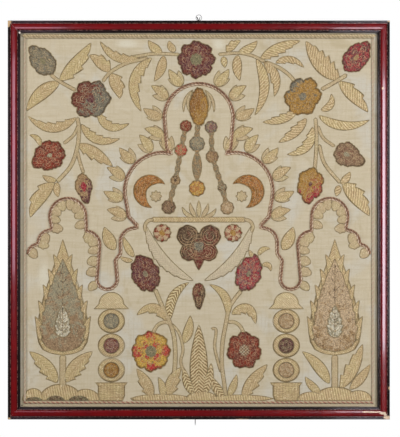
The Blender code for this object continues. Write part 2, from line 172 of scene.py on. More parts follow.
class Recipe:
    """A material that is built up node by node. A pattern reads Object coordinates, in metres."""

    def __init__(self, name, roughness, metallic=0.0):
        self.material = bpy.data.materials.new(name)
        self.material.use_nodes = True
        self.nodes = self.material.node_tree.nodes
        self.links = self.material.node_tree.links
        self.shader = self.nodes["Principled BSDF"]
        self.shader.inputs["Roughness"].default_value = roughness
        self.shader.inputs["Metallic"].default_value = metallic
        self.place = self.nodes.new("ShaderNodeTexCoord").outputs["Object"]

    def feed(self, socket, value):
        """Links a socket to a value, or sets it where the value is plain."""
        if isinstance(value, bpy.types.NodeSocket):
            self.links.new(value, socket)
        elif socket.type == "RGBA" and len(value) == 3:
            socket.default_value = (*value, 1)
        else:
            socket.default_value = value

    def add(self, kind, inputs, **settings):
        node = self.nodes.new(kind)
        for key, value in settings.items():
            setattr(node, key, value)
        for key, value in inputs.items():
            self.feed(node.inputs[key], value)
        return node

    def maths(self, operation, *values):
        return self.add("ShaderNodeMath", dict(enumerate(values)), operation=operation).outputs[0]

    def spread(self, value, low, high, out_low=0.0, out_high=1.0):
        """Maps a value smoothly from one range to another, and holds it at the ends."""
        inputs = {"Value": value, 1: low, 2: high, 3: out_low, 4: out_high}
        return self.add("ShaderNodeMapRange", inputs, interpolation_type="SMOOTHSTEP").outputs[0]

    def mix(self, amount, first, second, blend="MIX"):
        inputs = {0: amount, 6: first, 7: second}
        return self.add("ShaderNodeMix", inputs, data_type="RGBA", blend_type=blend).outputs[2]

    def noise(self, cell, detail=2.0, distortion=0.0, stretch=None):
        vector = self.place
        if stretch:
            vector = self.add("ShaderNodeMapping", {"Vector": self.place, "Scale": stretch}).outputs[0]
        inputs = {"Vector": vector, "Scale": 1 / cell, "Detail": detail, "Distortion": distortion}
        return self.add("ShaderNodeTexNoise", inputs).outputs[0]

    def warped(self, reach, cell):
        """The place, pushed about by up to half the reach in swirls about a cell across."""
        swirl = self.add("ShaderNodeTexNoise", {"Vector": self.place, "Scale": 1 / cell}).outputs[1]
        inputs = {0: swirl, 1: (reach, reach, reach), 2: self.place}
        return self.add("ShaderNodeVectorMath", inputs, operation="MULTIPLY_ADD").outputs[0]

    def cells(self, cell, feature="F1", vector=None):
        inputs = {"Vector": vector or self.place, "Scale": 1 / cell}
        return self.add("ShaderNodeTexVoronoi", inputs, feature=feature).outputs["Distance"]

    def value(self, name):
        return self.add("ShaderNodeAttribute", {}, attribute_name=name).outputs["Fac"]

    def flat_map(self):
        """The two coordinates of the piece's own map, in centimetres: across the shape, and along it."""
        split = self.add("ShaderNodeSeparateXYZ", {0: self.add("ShaderNodeUVMap", {}).outputs[0]})
        return split.outputs[0], split.outputs[1]

    def patch(self, place, x, z, reach_x, reach_z, strength=1.0, ragged=0.0):
        """A soft or ragged oval on the panel's face, in millimetres from the middle of the cloth."""
        level = self.maths("SUBTRACT", place[2], CLOTH_MIDDLE.z)
        off_x = self.maths("DIVIDE", self.maths("SUBTRACT", place[0], x * MM), reach_x * MM)
        off_z = self.maths("DIVIDE", self.maths("SUBTRACT", level, z * MM), reach_z * MM)
        square_x, square_z = self.maths("POWER", off_x, 2.0), self.maths("POWER", off_z, 2.0)
        away = self.maths("SQRT", self.maths("ADD", square_x, square_z))
        crumbs = self.maths("MULTIPLY_ADD", self.noise(6 * MM, 4), 1.4, -0.7)
        away = self.maths("MULTIPLY_ADD", crumbs, ragged, away)
        return self.spread(away, 1.0, 0.75 if ragged else 0.2, 0.0, strength)

    def bump(self, height, strength, depth):
        inputs = {"Height": height, "Strength": strength, "Distance": depth}
        node = self.add("ShaderNodeBump", inputs)
        self.feed(self.shader.inputs["Normal"], node.outputs[0])

    def finish(self, colour, roughness=None):
        self.feed(self.shader.inputs["Base Color"], colour)
        if roughness is not None:
            self.feed(self.shader.inputs["Roughness"], roughness)
        return self.material


def silk(name, first, second, centre, loops=1.0, patches=5.0, fleck=1.0):
    """Looped silk: two threads mixed loop by loop, and a third in the middle of a blossom."""
    recipe = Recipe(name, 0.8)
    cell = sizes().loop_cell * loops
    recipe.shader.inputs["Sheen Weight"].default_value = 0.05
    patchy = recipe.noise(cell * patches, 3, 1.5)
    flecks = recipe.noise(cell * 1.8, 2, 3.0)
    fine = recipe.noise(cell * 0.9, 1, 1.0)
    curl = recipe.cells(cell * 3.2, "DISTANCE_TO_EDGE", recipe.warped(cell * 2.5, cell * 4))
    share = recipe.maths("ADD", recipe.value("tone"), recipe.maths("MULTIPLY_ADD", patchy, 2.4, -1.2))
    thread = recipe.mix(recipe.spread(share, 0.3, 0.7), THREADS[first], THREADS[second])
    thread = recipe.mix(recipe.spread(recipe.value("zone"), 0.4, 0.6), thread, THREADS[centre])
    thread = recipe.mix(recipe.spread(flecks, 0.56, 0.66, 0.0, 0.5 * fleck), thread, THREADS["thread_pale"])
    thread = recipe.mix(recipe.spread(flecks, 0.47, 0.36, 0.0, 0.6 * fleck), thread, THREADS["thread_dark"])
    thread = recipe.mix(recipe.spread(curl, 0.08, 0.03, 0.0, 0.35), thread, THREADS["thread_pale"])
    # Painted shade: the thread darkens towards the edge of each shape and in the creases between petals
    dusk = recipe.spread(recipe.value("rim"), 0.84, 0.97, 0.0, 0.55)
    thread = recipe.mix(dusk, thread, THREADS["thread_dark"])
    loop = recipe.cells(cell)
    shade = recipe.spread(loop, 0.15, 0.75, 1.12, 0.68)
    shading = recipe.add("ShaderNodeCombineColor", dict.fromkeys(range(3), shade)).outputs[0]
    thread = recipe.mix(1.0, thread, shading, "MULTIPLY")
    height = recipe.maths("SUBTRACT", recipe.maths("ADD", fine, flecks), loop)
    recipe.bump(height, 0.8, 0.9 * MM)
    return recipe.finish(thread)


def stitched(recipe, pattern, pitch, across, along):
    """Rows of stitches as a wave from -1 to 1: slanting from a midrib, one way, upright or crossed."""
    turns = 2 * math.pi * MAP_UNIT / pitch

    def wave(way):
        return recipe.maths("SINE", recipe.maths("MULTIPLY", way, turns))

    wobble = recipe.maths("MULTIPLY_ADD", recipe.noise(11 * MM, 2), 0.7, along)
    if pattern == "basket":
        one = wave(recipe.maths("ADD", wobble, across))
        other = wave(recipe.maths("SUBTRACT", wobble, across))
        return recipe.maths("MULTIPLY", one, other)
    if pattern == "upright":
        return wave(recipe.maths("MULTIPLY_ADD", wobble, 0.2, across))
    if pattern == "herringbone":
        across = recipe.maths("ABSOLUTE", across)
    return wave(recipe.maths("MULTIPLY_ADD", across, 0.95, wobble))


def gold(name, pattern, pitch=1.0, rows=0.4, paleness=0.0, towards="ground"):
    """Couched metal thread in rows of stitches, with painted shade in the hollows and painted highlights in
    places.
    """
    recipe = Recipe(name, 0.55, 0.15)
    hues = colours()
    across, along = recipe.flat_map()
    wave = stitched(recipe, pattern, sizes().stitch_pitch * pitch, across, along)
    worn = recipe.maths("MULTIPLY_ADD", recipe.value("tone"), 0.3, recipe.noise(26 * MM, 3, 0.8))
    glitter = recipe.noise(4 * MM, 2, 1.5)
    rim = recipe.value("rim")
    base = recipe.mix(recipe.spread(worn, 0.45, 0.75), hues.gold, hues.gold_pink)
    # Painted glints where the fine noise is high
    base = recipe.mix(recipe.spread(glitter, 0.52, 0.66, 0.0, 0.36), base, hues.gold_glint)
    # Painted shade in dark specks where the fine noise is low
    base = recipe.mix(recipe.spread(glitter, 0.46, 0.34, 0.0, 0.3), base, hues.gold_shadow)
    # Painted shade in the hollows between stitch rows, stronger in some places than in others
    seen = recipe.spread(recipe.noise(14 * MM, 2, 0.5), 0.3, 0.6, 0.45 * rows, rows)
    shaded = recipe.maths("MULTIPLY", recipe.spread(wave, 0.1, -0.6), seen)
    base = recipe.mix(shaded, base, hues.gold_shadow)
    # Painted highlights on the crests of the stitch rows and in scattered specks
    base = recipe.mix(recipe.spread(wave, 0.5, 0.9, 0.0, 0.5 * min(rows, 0.9)), base, hues.gold_glint)
    base = recipe.mix(recipe.spread(recipe.noise(5 * MM, 1, 0.5), 0.62, 0.7, 0.0, 0.5), base, hues.gold_glint)
    # Painted shade towards the shape's edge and along the midrib groove
    base = recipe.mix(recipe.spread(rim, 0.8, 1.0, 0.0, 0.35), base, hues.gold_shadow)
    base = recipe.mix(recipe.spread(rim, 0.0, 0.1, 0.3, 0.0), base, hues.gold_shadow)
    base = recipe.mix(paleness, base, getattr(hues, towards))
    height = recipe.maths("ADD", recipe.maths("MULTIPLY", wave, 0.7), glitter)
    recipe.bump(height, 0.7, 0.6 * MM)
    return recipe.finish(base)


def outline_thread():
    recipe = Recipe("outline_thread", 0.75)
    faded = recipe.spread(recipe.noise(9 * MM, 3), 0.35, 0.65)
    base = recipe.mix(faded, colours().outline, colours().outline_faded)
    recipe.bump(recipe.noise(1.2 * MM, 1), 0.6, 0.4 * MM)
    return recipe.finish(base)


def vein_thread(name, thread):
    recipe = Recipe(name, 0.7)
    faded = recipe.spread(recipe.noise(6 * MM, 2), 0.35, 0.65)
    base = recipe.mix(faded, THREADS[thread], THREADS["thread_pale"])
    recipe.bump(recipe.noise(1.2 * MM, 1), 0.6, 0.4 * MM)
    return recipe.finish(base)


# Places where the cloth is silvery: x, z and how far they reach each way
SILVER_PLACES = (
    (56, 488, 24, 22),
    (-200, 490, 44, 16),
    (-206, 120, 30, 40),
    (236, -330, 20, 60),
    (-430, -160, 24, 60),
)


def ground_weave():
    """Plain weave: fine ribs both ways, level slubs, clouds of fading and a few stains."""
    recipe = Recipe("ground_weave", 0.85)
    hues = colours()
    split = recipe.add("ShaderNodeSeparateXYZ", {0: recipe.place})
    warp = recipe.maths("SINE", recipe.maths("MULTIPLY", split.outputs[0], 2 * math.pi / (1.3 * MM)))
    weft = recipe.maths("SINE", recipe.maths("MULTIPLY", split.outputs[2], 2 * math.pi / (1.1 * MM)))
    clouds = recipe.noise(0.14, 4, 0.6)
    stains = recipe.noise(0.06, 5, 1.4)
    slubs = recipe.noise(0.012, 3, 0.3, (0.2, 1, 2.4))
    threads = recipe.noise(0.012, 3, 0.3, (2.4, 1, 0.2))
    specks = recipe.noise(4 * MM, 2)
    base = recipe.mix(recipe.spread(clouds, 0.5, 0.66, 0.0, 0.9), hues.ground, hues.ground_silver)
    base = recipe.mix(recipe.spread(stains, 0.52, 0.75, 0.0, 0.7), base, hues.ground_stain)
    base = recipe.mix(recipe.spread(slubs, 0.5, 0.7, 0.0, 0.35), base, hues.ground_stain)
    base = recipe.mix(recipe.spread(slubs, 0.45, 0.3, 0.0, 0.35), base, hues.ground_pale)
    base = recipe.mix(recipe.spread(threads, 0.5, 0.7, 0.0, 0.3), base, hues.ground_stain)
    silver = recipe.mix(0.5, hues.ground_silver, THREADS["ivory"])
    for x, z, reach_x, reach_z in SILVER_PLACES:
        base = recipe.mix(recipe.patch(split.outputs, x, z, reach_x, reach_z, 0.8), base, silver)
    base = recipe.mix(recipe.spread(specks, 0.42, 0.26, 0.0, 0.5), base, hues.ground_stain)
    weave = recipe.maths("MULTIPLY", recipe.maths("ADD", warp, weft), 0.3)
    height = recipe.maths("ADD", weave, recipe.maths("ADD", recipe.maths("MULTIPLY", slubs, 2.0), specks))
    recipe.bump(height, 0.5, 0.35 * MM)
    return recipe.finish(base)


def strand(name, colour, second):
    recipe = Recipe(name, 0.6)
    mixed = recipe.spread(recipe.noise(7 * MM, 2, 1.0), 0.4, 0.62)
    base = recipe.mix(mixed, colour, second)
    recipe.bump(recipe.noise(1.0 * MM, 1), 0.5, 0.4 * MM)
    return recipe.finish(base)


# Worn places of the moulding, and one painted highlight: where, how far they reach in x and z, and how white
# they are
LacquerSpot = namedtuple("LacquerSpot", "x z reach_x reach_z pale")
WORN_PLACES_AND_HIGHLIGHT = (
    LacquerSpot(-529, 551, 9, 15, 0.0),
    LacquerSpot(-497, 519, 3, 3, 0.9),
    LacquerSpot(523, -548, 12, 6, 0.4),
    LacquerSpot(482, -532, 30, 2.2, 0.3),
    LacquerSpot(508, -535, 8, 4, 0.5),
    LacquerSpot(517, -541, 5, 8, 0.5),
    # Painted highlight: a pale spot on the right rail's band, not a chip
    LacquerSpot(510, 366, 3, 5, 0.3),
    LacquerSpot(527, 551, 4, 4, 0.2),
    LacquerSpot(-528, -551, 6, 4, 0.0),
    LacquerSpot(120, -553, 20, 2.0, 0.0),
    LacquerSpot(-60, -553, 14, 2.0, 0.0),
    LacquerSpot(529, -466, 3, 6, 0.0),
)


def lacquer():
    """Red lacquer with black beads at both edges, chipped at the corners, with one painted highlight spot on
    the right rail, and bare wood behind.
    """
    recipe = Recipe("worn_lacquer", 0.22)
    hues = colours()
    recipe.shader.inputs["Coat Weight"].default_value = 1.0
    recipe.shader.inputs["Coat Roughness"].default_value = 0.07
    split = recipe.add("ShaderNodeSeparateXYZ", {0: recipe.place})
    x, y, z = split.outputs
    from_side = recipe.maths("SUBTRACT", FRAME_WIDTH / 2, recipe.maths("ABSOLUTE", x))
    level = recipe.maths("SUBTRACT", z, CLOTH_MIDDLE.z)
    from_end = recipe.maths("SUBTRACT", FRAME_HEIGHT / 2, recipe.maths("ABSOLUTE", level))
    inward = recipe.maths("MINIMUM", from_side, from_end)
    grain = recipe.noise(5 * MM, 3)
    ragged = recipe.maths("MULTIPLY_ADD", grain, 0.8 * MM, -0.4 * MM)
    edge = recipe.maths("ADD", inward, ragged)
    dark = recipe.mix(recipe.noise(60 * MM, 2), hues.lacquer_black, tint(28, 16, 14))
    band = recipe.mix(recipe.spread(recipe.noise(40 * MM, 3), 0.3, 0.7), hues.lacquer, tint(98, 4, 10))
    line = recipe.mix(recipe.spread(grain, 0.35, 0.6), hues.lacquer_line, dark)
    base = recipe.mix(recipe.spread(edge, 6.3 * MM, 6.8 * MM), dark, line)
    base = recipe.mix(recipe.spread(edge, 8.2 * MM, 8.7 * MM), base, band)
    base = recipe.mix(recipe.spread(edge, 25.8 * MM, 26.3 * MM), base, line)
    base = recipe.mix(recipe.spread(edge, 27.8 * MM, 28.3 * MM), base, dark)
    chips_and_highlight = None
    # Chips show bare wood; the spot on the right rail's band is a painted highlight in the same pale colour,
    # and it is roughened and dented with the chips
    for spot in WORN_PLACES_AND_HIGHLIGHT:
        mask = recipe.patch(split.outputs, spot.x, spot.z, spot.reach_x, spot.reach_z, 1.0, 1.3)
        base = recipe.mix(mask, base, tint(205 + 40 * spot.pale, 172 + 60 * spot.pale, 132 + 92 * spot.pale))
        chips_and_highlight = mask if chips_and_highlight is None else recipe.maths("MAXIMUM", chips_and_highlight, mask)
    wood = recipe.noise(0.01, 4, 0.4, (1, 1, 0.15))
    raw = recipe.mix(wood, hues.bare_wood, tint(168, 128, 88))
    base = recipe.mix(recipe.spread(y, 3.5 * MM, 4.5 * MM), base, raw)
    height = recipe.maths("ADD", recipe.noise(30 * MM, 3), recipe.maths("MULTIPLY", chips_and_highlight, -2.0))
    recipe.bump(height, 0.25, 0.5 * MM)
    return recipe.finish(base, recipe.maths("MULTIPLY_ADD", chips_and_highlight, 0.5, 0.22))


def plated_wire():
    recipe = Recipe("dull_wire", 0.38, 1.0)
    dull = recipe.mix(recipe.spread(recipe.noise(3 * MM, 3), 0.35, 0.7), colours().wire, tint(84, 90, 84))
    return recipe.finish(dull)


def made(maker, name, *details):
    """The material of that name, made the first time it is asked for."""
    return bpy.data.materials.get(name) or maker(name, *details)


def herringbone():
    return made(gold, "gold_herringbone", "herringbone", 1.1, 0.35)


def satin():
    return made(gold, "gold_satin", "satin", 1.5, 0.5)


def basket():
    return made(gold, "gold_basket", "basket", 1.35, 1.0)


def pale_gold():
    return made(gold, "gold_pale", "herringbone", 0.8, 0.3, 0.25)


def light_gold():
    return made(gold, "gold_light", "herringbone", 1.1, 0.5, 0.55, "ground_pale")


def bright_gold():
    return made(gold, "gold_bright", "satin", 1.0, 0.5, 0.2, "gold_glint")


def hatched():
    return made(gold, "gold_hatched", "upright", 1.1, 0.5)


def zigzag():
    return made(gold, "gold_zigzag", "herringbone", 1.5, 1.3)


def edging():
    return bpy.data.materials.get("outline_thread") or outline_thread()


# Shaping


def deselect():
    for obj in list(bpy.context.selected_objects):
        obj.select_set(False)


def ball(rings, around):
    """A sphere primitive to be reshaped, with each vertex's ring and its step round the ring."""
    deselect()
    bpy.ops.mesh.primitive_uv_sphere_add(segments=around, ring_count=rings, radius=1)
    obj = bpy.context.object
    places = np.empty(3 * len(obj.data.vertices))
    obj.data.vertices.foreach_get("co", places)
    x, y, z = places.reshape(-1, 3).T
    ring = np.rint(np.arccos(np.clip(z, -1, 1)) / math.pi * rings).astype(int)
    step = np.rint(np.arctan2(y, x) / (2 * math.pi) * around).astype(int) % around
    return obj, ring, step


def settle(obj, x, z, rise, across, along, values):
    """Moves the vertices to their places on the cloth and gives them a map and values."""
    mesh = obj.data
    places = np.stack((CLOTH_MIDDLE.x + x * MM, FACE_Y - rise * MM, CLOTH_MIDDLE.z + z * MM), axis=1)
    mesh.vertices.foreach_set("co", places.ravel())
    corner = np.empty(len(mesh.loops), dtype=int)
    mesh.loops.foreach_get("vertex_index", corner)
    flat = np.stack((across, along), axis=1)[corner] * (MM / MAP_UNIT)
    mesh.uv_layers.active.data.foreach_set("uv", flat.ravel())
    for name, numbers in values.items():
        layer = mesh.attributes.new(name, "FLOAT", "POINT")
        layer.data.foreach_set("value", np.broadcast_to(numbers, x.shape).astype(np.float32))
    mesh.update()


def crumb(x, z, cell):
    """An uneven surface of bumps about a cell apart, from -1 to 1."""
    k = 2 * math.pi / cell
    a = np.sin(k * (0.47 * x + 0.31 * z) + 1.7 * np.sin(k * 0.21 * z + 1.0))
    b = np.sin(k * (-0.29 * x + 0.53 * z) + 1.9 * np.sin(k * 0.17 * x + 2.0))
    c = np.sin(k * (0.61 * x - 0.13 * z) + 1.3 * np.sin(k * 0.33 * (x + z)))
    return (a * b + b * c + c * a) / 2


def line_along(points, step=4.0):
    """A smooth line through a few points, as many evenly spaced ones."""
    knots = np.array(points, dtype=float)
    knots = np.vstack((2 * knots[0] - knots[1], knots, 2 * knots[-1] - knots[-2]))
    t = np.linspace(0, 1, 17)[:-1, None]
    pieces = []
    for a, b, c, d in zip(knots, knots[1:], knots[2:], knots[3:]):
        square, cube = 2 * a - 5 * b + 4 * c - d, 3 * b - a - 3 * c + d
        pieces.append(0.5 * (2 * b + (c - a) * t + square * t**2 + cube * t**3))
    line = np.vstack((*pieces, knots[-2][None]))
    return evenly(line, step)


def evenly(line, step):
    gone = np.concatenate(([0], np.cumsum(np.hypot(*np.diff(line, axis=0).T))))
    count = max(8, round(gone[-1] / step))
    at = np.linspace(0, gone[-1], count + 1)
    return np.stack((np.interp(at, gone, line[:, 0]), np.interp(at, gone, line[:, 1])), axis=1)


def bowed(start, end, bow, steps=40):
    """A line from start to end that bows to its left by the given height."""
    start, end = np.array(start, dtype=float), np.array(end, dtype=float)
    t = np.linspace(0, 1, steps + 1)[:, None]
    along = end - start
    left = np.array((-along[1], along[0])) / np.hypot(*along)
    return start + along * t + left * 4 * bow * t * (1 - t)


def turned(x, z, degrees):
    c, s = math.cos(math.radians(degrees)), math.sin(math.radians(degrees))
    return c * x - s * z, s * x + c * z


def figured(figure, reach, angle, petals):
    """How far a blossom's second thread takes over from its first, place by place."""
    if figure == "petals":
        return 0.5 + 0.5 * np.sin(petals * angle / 2 + 0.8)
    if figure == "halves":
        return 0.5 + 0.5 * np.sin(angle + 2.4) * reach
    if figure == "thirds":
        return 0.74 + 0.5 * np.sin(angle + 2.4) * reach
    if figure == "patches":
        return 0.36 + 0.42 * np.sin(4 * angle + 1.3) * np.cos(6.5 * reach + 1.0)
    if figure == "crown":
        off = (angle - 2.7 + math.pi) % (2 * math.pi) - math.pi
        return 0.15 + 0.9 * np.exp(-((off / 0.6) ** 2)) * np.clip(2.5 * reach - 1.2, 0, 1)
    return 0.5 + 0 * reach


def as_mesh(name, data):
    """A curve with a bevel as a mesh object."""
    obj = bpy.data.objects.new(name, data)
    bpy.context.scene.collection.objects.link(obj)
    deselect()
    obj.select_set(True)
    bpy.context.view_layer.objects.active = obj
    bpy.ops.object.convert(target="MESH")
    return bpy.context.object


class Sewn:
    """Patches and threads that end up as one sewn piece."""

    def __init__(self, name):
        self.name = name
        self.patches = []
        self.laid = []

    def take(self, obj, material):
        obj.data.materials.append(material)
        self.patches.append(obj)

    def lay(self, x, z, material, height=0.5, radius=1.0, closed=False):
        """Keeps a line of thread to be laid at a height, with its radius as a share of the outline's."""
        self.laid.append((x, z, material, height, radius, closed))

    def strip(self, spine, width, material, rise=None, base=0.0, belly=1.0, fullness=0.8, profile=None,
              teeth=0, side=0, depth=0.55, across=16, step=2.4, tone=0.5, fade=0.0, dusk=1.0, outline=True):
        """A shape that runs along a spine: a leaf, or a stem where the belly is 0. Teeth lean to its tip.

        A profile gives the half widths along the spine instead, and the base is what the shape lies on.
        """
        rise = sizes().leaf_rise / MM if rise is None else rise
        gone = np.concatenate(([0], np.cumsum(np.hypot(*np.diff(spine, axis=0).T))))
        length = gone[-1]
        gone = gone / length
        ahead = np.gradient(spine, axis=0)
        ahead /= np.hypot(*ahead.T)[:, None]

        def edge(t, u):
            if profile is not None:
                half = np.interp(t, gone, profile)
            elif belly:
                half = width / 2 * np.sin(math.pi * np.clip(t, 0, 1) ** belly) ** fullness
            else:
                half = width / 2 * np.clip(np.minimum(t, 1 - t) * length / width * 2 + 0.25, 0, 1)
            if teeth:
                saw = (teeth * t) % 1.0
                bite = 1 + depth * (saw - 0.4) * np.clip(5 * np.minimum(t, 1 - t), 0, 1)
                toothed = (u > 0) if side > 0 else (u < 0) if side < 0 else np.ones_like(u, dtype=bool)
                half = np.where(toothed, half * bite, half)
            px, pz = np.interp(t, gone, spine[:, 0]), np.interp(t, gone, spine[:, 1])
            tx, tz = np.interp(t, gone, ahead[:, 0]), np.interp(t, gone, ahead[:, 1])
            return px - tz * u * half, pz + tx * u * half, half

        rings = int(np.clip(round(length / step), 10, 150))
        obj, ring, at = ball(rings, across)
        top = round(across * 0.75)
        t = ring / rings
        above = at <= top
        u = np.where(above, -1 + 2 * at / top, 1 - 2 * (at - top) / (across - top))
        x, z, half = edge(t, u)
        ends = np.clip((24 if profile is not None else 8) * np.minimum(t, 1 - t), 0.15, 1)
        dome = rise * ends * (1 - np.abs(u) ** 3.5)
        groove = 0.4 * rise * np.exp(-((u / 0.16) ** 2)) if belly and width > 16 else 0
        height = np.where(above, base + dome - groove * ends, BURIED)
        tone = tone + fade * (1 - t) ** 2
        # The rim value rises from the midrib to the edge; the materials paint shade by it
        settle(obj, x, z, height, u * half, t * length, {"tone": tone, "rim": dusk * np.abs(u), "zone": 0.0})
        self.take(obj, material)
        if outline:
            count = max(rings, 6 * teeth)
            t = np.linspace(0, 1, count + 1)
            left_x, left_z, _ = edge(t, np.ones_like(t))
            right_x, right_z, _ = edge(t[1:-1][::-1], -np.ones_like(t[1:-1]))
            line_x, line_z = np.concatenate((left_x, right_x)), np.concatenate((left_z, right_z))
            self.lay(line_x, line_z, edging(), base + 0.5, closed=True)

    def pad(self, middle, shape, material, rise=None, base=0.0, rings=14, around=96, roughness=0.35, petals=0,
            zone=0.0, figure="plain", outline=False):
        """A shape that spreads from a middle, given as x and z by angle: a blossom, a bead or a mound."""
        rise = sizes().silk_rise / MM if rise is None else rise
        obj, ring, step = ball(rings + 1, around)
        angle = 2 * math.pi * step / around
        reach = np.where(ring <= rings, ring / rings, 0.0)
        edge_x, edge_z = shape(angle)
        x, z = middle[0] + reach * edge_x, middle[1] + reach * edge_z
        dome = (1 - reach**7) ** 0.6
        fold = np.zeros_like(reach)
        if petals:
            between = np.cos(petals * (angle - math.pi / 2) / 2)
            fold = np.exp(-((between / 0.26) ** 2)) * np.clip(3 * reach - 1, 0, 1)
            dome *= 1 - 0.4 * fold
        if zone:
            dome *= 1 + 0.25 * np.exp(-(((reach - zone) / 0.07) ** 2)) - 0.2 * (reach < zone)
        height = base + rise * dome + roughness * crumb(x, z, 7.0) * (reach < 0.98)
        height = np.where(ring <= rings, height, BURIED)
        height = np.where(ring == rings, base - 0.2, height)
        values = {
            "tone": figured(figure, reach, angle, petals),
            # The rim value rises towards the edge and in the folds between petals; the materials paint shade
            # by it
            "rim": np.maximum(reach, 0.96 * fold),
            "zone": np.where(reach < zone, 1.0, 0.0),
        }
        settle(obj, x, z, height, x, z, values)
        self.take(obj, material)
        if outline:
            angle = np.linspace(0, 2 * math.pi, around, endpoint=False)
            edge_x, edge_z = shape(angle)
            self.lay(middle[0] + edge_x, middle[1] + edge_z, edging(), base + 0.5, closed=True)

    def petal_threads(self, middle, shape, petals, material, height=None, rows=3):
        """Bowed stitches one inside another on each petal, no two of them quite alike."""
        height = sizes().silk_rise / MM + 0.1 if height is None else height
        half = 0.33 * 2 * math.pi / petals
        for number in range(petals):
            for row in range(rows):
                odd = math.sin(7.3 * number + 3.1 * row)
                bearing = math.pi / 2 + 2 * math.pi * number / petals + 0.2 * half * odd
                bend = np.linspace(-1, 1, 7) * (1 - 0.2 * odd)
                reach = (0.42 + 0.44 * row / rows + 0.03 * odd) * (1 - 0.2 * bend**2)
                edge_x, edge_z = shape(bearing + half * bend)
                self.lay(middle[0] + reach * edge_x, middle[1] + reach * edge_z, material, height, 0.6)

    def lay_threads(self):
        """Makes the laid lines into tubes: an outline lies half sunk at its shape's edge."""
        kinds = {}
        for line in self.laid:
            kinds.setdefault((line[2].name, line[4]), []).append(line)
        for (_, share), lines in kinds.items():
            data = bpy.data.curves.new(self.name + "_threads", "CURVE")
            data.dimensions = "3D"
            data.bevel_depth = sizes().outline_radius * share
            data.bevel_resolution = 0
            data.use_fill_caps = True
            for x, z, _, height, _, closed in lines:
                spline = data.splines.new("POLY")
                spline.points.add(len(x) - 1)
                places = np.stack((CLOTH_MIDDLE.x + x * MM, np.full(len(x), FACE_Y - height * MM),
                                   CLOTH_MIDDLE.z + z * MM, np.ones(len(x))), axis=1)
                spline.points.foreach_set("co", places.ravel())
                spline.use_cyclic_u = closed
            self.take(as_mesh(self.name + "_threads", data), lines[0][2])

    def finish(self, slot, *nodes):
        self.lay_threads()
        deselect()
        for obj in self.patches:
            obj.select_set(True)
        bpy.context.view_layer.objects.active = self.patches[0]
        bpy.ops.object.join()
        piece = bpy.context.object
        tidy(piece)
        return declare(piece, self.name, slot, *nodes)


def tidy(piece):
    """Merges what lies on one spot and points every face outwards."""
    deselect()
    piece.select_set(True)
    bpy.context.view_layer.objects.active = piece
    bpy.ops.object.mode_set(mode="EDIT")
    bpy.ops.mesh.select_all(action="SELECT")
    bpy.ops.mesh.remove_doubles(threshold=0.005 * MM)
    bpy.ops.mesh.normals_make_consistent(inside=False)
    bpy.ops.object.mode_set(mode="OBJECT")
    bpy.ops.object.shade_smooth()


def declare(piece, name, slot, *nodes):
    """Names a finished piece, and says what it rides on and what it stands for; its finish, the slot, is not
    used.
    """
    piece.name = name
    piece.data.name = name
    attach(piece, "root")
    if nodes:
        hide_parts(*nodes)
    return piece


# Frame


def moulding_section(steps=10):
    """The rail's section, in millimetres in from the outer edge and back from the cloth's middle."""

    def arc(middle, radius, depth, rise, start, end):
        angle = np.radians(np.linspace(start, end, steps + 1))
        return [(middle + radius * math.cos(a), depth - rise * math.sin(a)) for a in angle]

    across = np.linspace(-1, 1, 2 * steps + 1)
    band = [(17.25 + 8.7 * s, -9.4 - 3.85 * (1 - abs(s) ** 6) ** 0.6 - 0.25 * (1 - s * s)) for s in across]
    return (
        [(0.0, 11.4), (0.6, 12.0)][::-1]
        + arc(3.25, 3.25, -7.5, 3.5, 180, 90)
        + arc(3.25, 3.25, -7.5, 3.5, 90, 35)[1:]
        + [(6.6, -9.2), (7.5, -9.0), (8.3, -9.3)]
        + band
        + [(26.4, -9.2), (27.2, -9.0), (27.9, -9.1)]
        + arc(31.5, 3.5, -7.5, 3.5, 145, 0)
        + [(35.0, -1.4), (25.2, -1.4), (25.2, 1.4), (32.8, 1.4), (33.0, 11.6), (32.6, 12.0)]
    )


MITRE_GAP = 0.1 * MM
CREASE = math.radians(38)


def rail(name, node, length, inward):
    """A moulding extruded from its section and mitred at both ends."""
    section = moulding_section()
    deselect()
    bpy.ops.mesh.primitive_circle_add(vertices=len(section), radius=1, fill_type="NGON")
    piece = bpy.context.object
    longer = length / 2 + 0.01
    for vertex, (u, y) in zip(piece.data.vertices, section):
        vertex.co = (u * MM, y * MM, -longer)
    bpy.ops.object.mode_set(mode="EDIT")
    bpy.ops.mesh.select_all(action="SELECT")
    bpy.ops.mesh.extrude_region_move(TRANSFORM_OT_translate={"value": (0, 0, 2 * longer)})
    for side in (1, -1):
        mitre = (0, 0, side * (length / 2 - MITRE_GAP))
        bpy.ops.mesh.select_all(action="SELECT")
        bpy.ops.mesh.bisect(plane_co=mitre, plane_no=(1, 0, side), use_fill=True, clear_outer=True)
    bpy.ops.object.mode_set(mode="OBJECT")
    back = Vector((0, 1, 0))
    turn = Matrix((inward, back, inward.cross(back))).transposed().to_4x4()
    half = FRAME_WIDTH / 2 if inward.x else FRAME_HEIGHT / 2
    turn.translation = CLOTH_MIDDLE - half * inward
    piece.data.transform(turn)
    tidy(piece)
    bpy.ops.object.shade_smooth_by_angle(angle=CREASE)
    piece.data.materials.append(bpy.data.materials.get("worn_lacquer") or lacquer())
    return declare(piece, name, "lacquered_wood", node)


class EMBROIDERY_OT_frame(bpy.types.Operator):
    """Four mitred rails of lacquered moulding"""
    bl_idname = "embroidery.frame"
    bl_label = "Frame"

    def execute(self, context):
        rail("moulding_left", "rail_left", FRAME_HEIGHT, Vector((1, 0, 0)))
        rail("moulding_right", "rail_right", FRAME_HEIGHT, Vector((-1, 0, 0)))
        rail("moulding_top", "rail_top", FRAME_WIDTH, Vector((0, 0, -1)))
        rail("moulding_bottom", "rail_bottom", FRAME_WIDTH, Vector((0, 0, 1)))
        return {"FINISHED"}


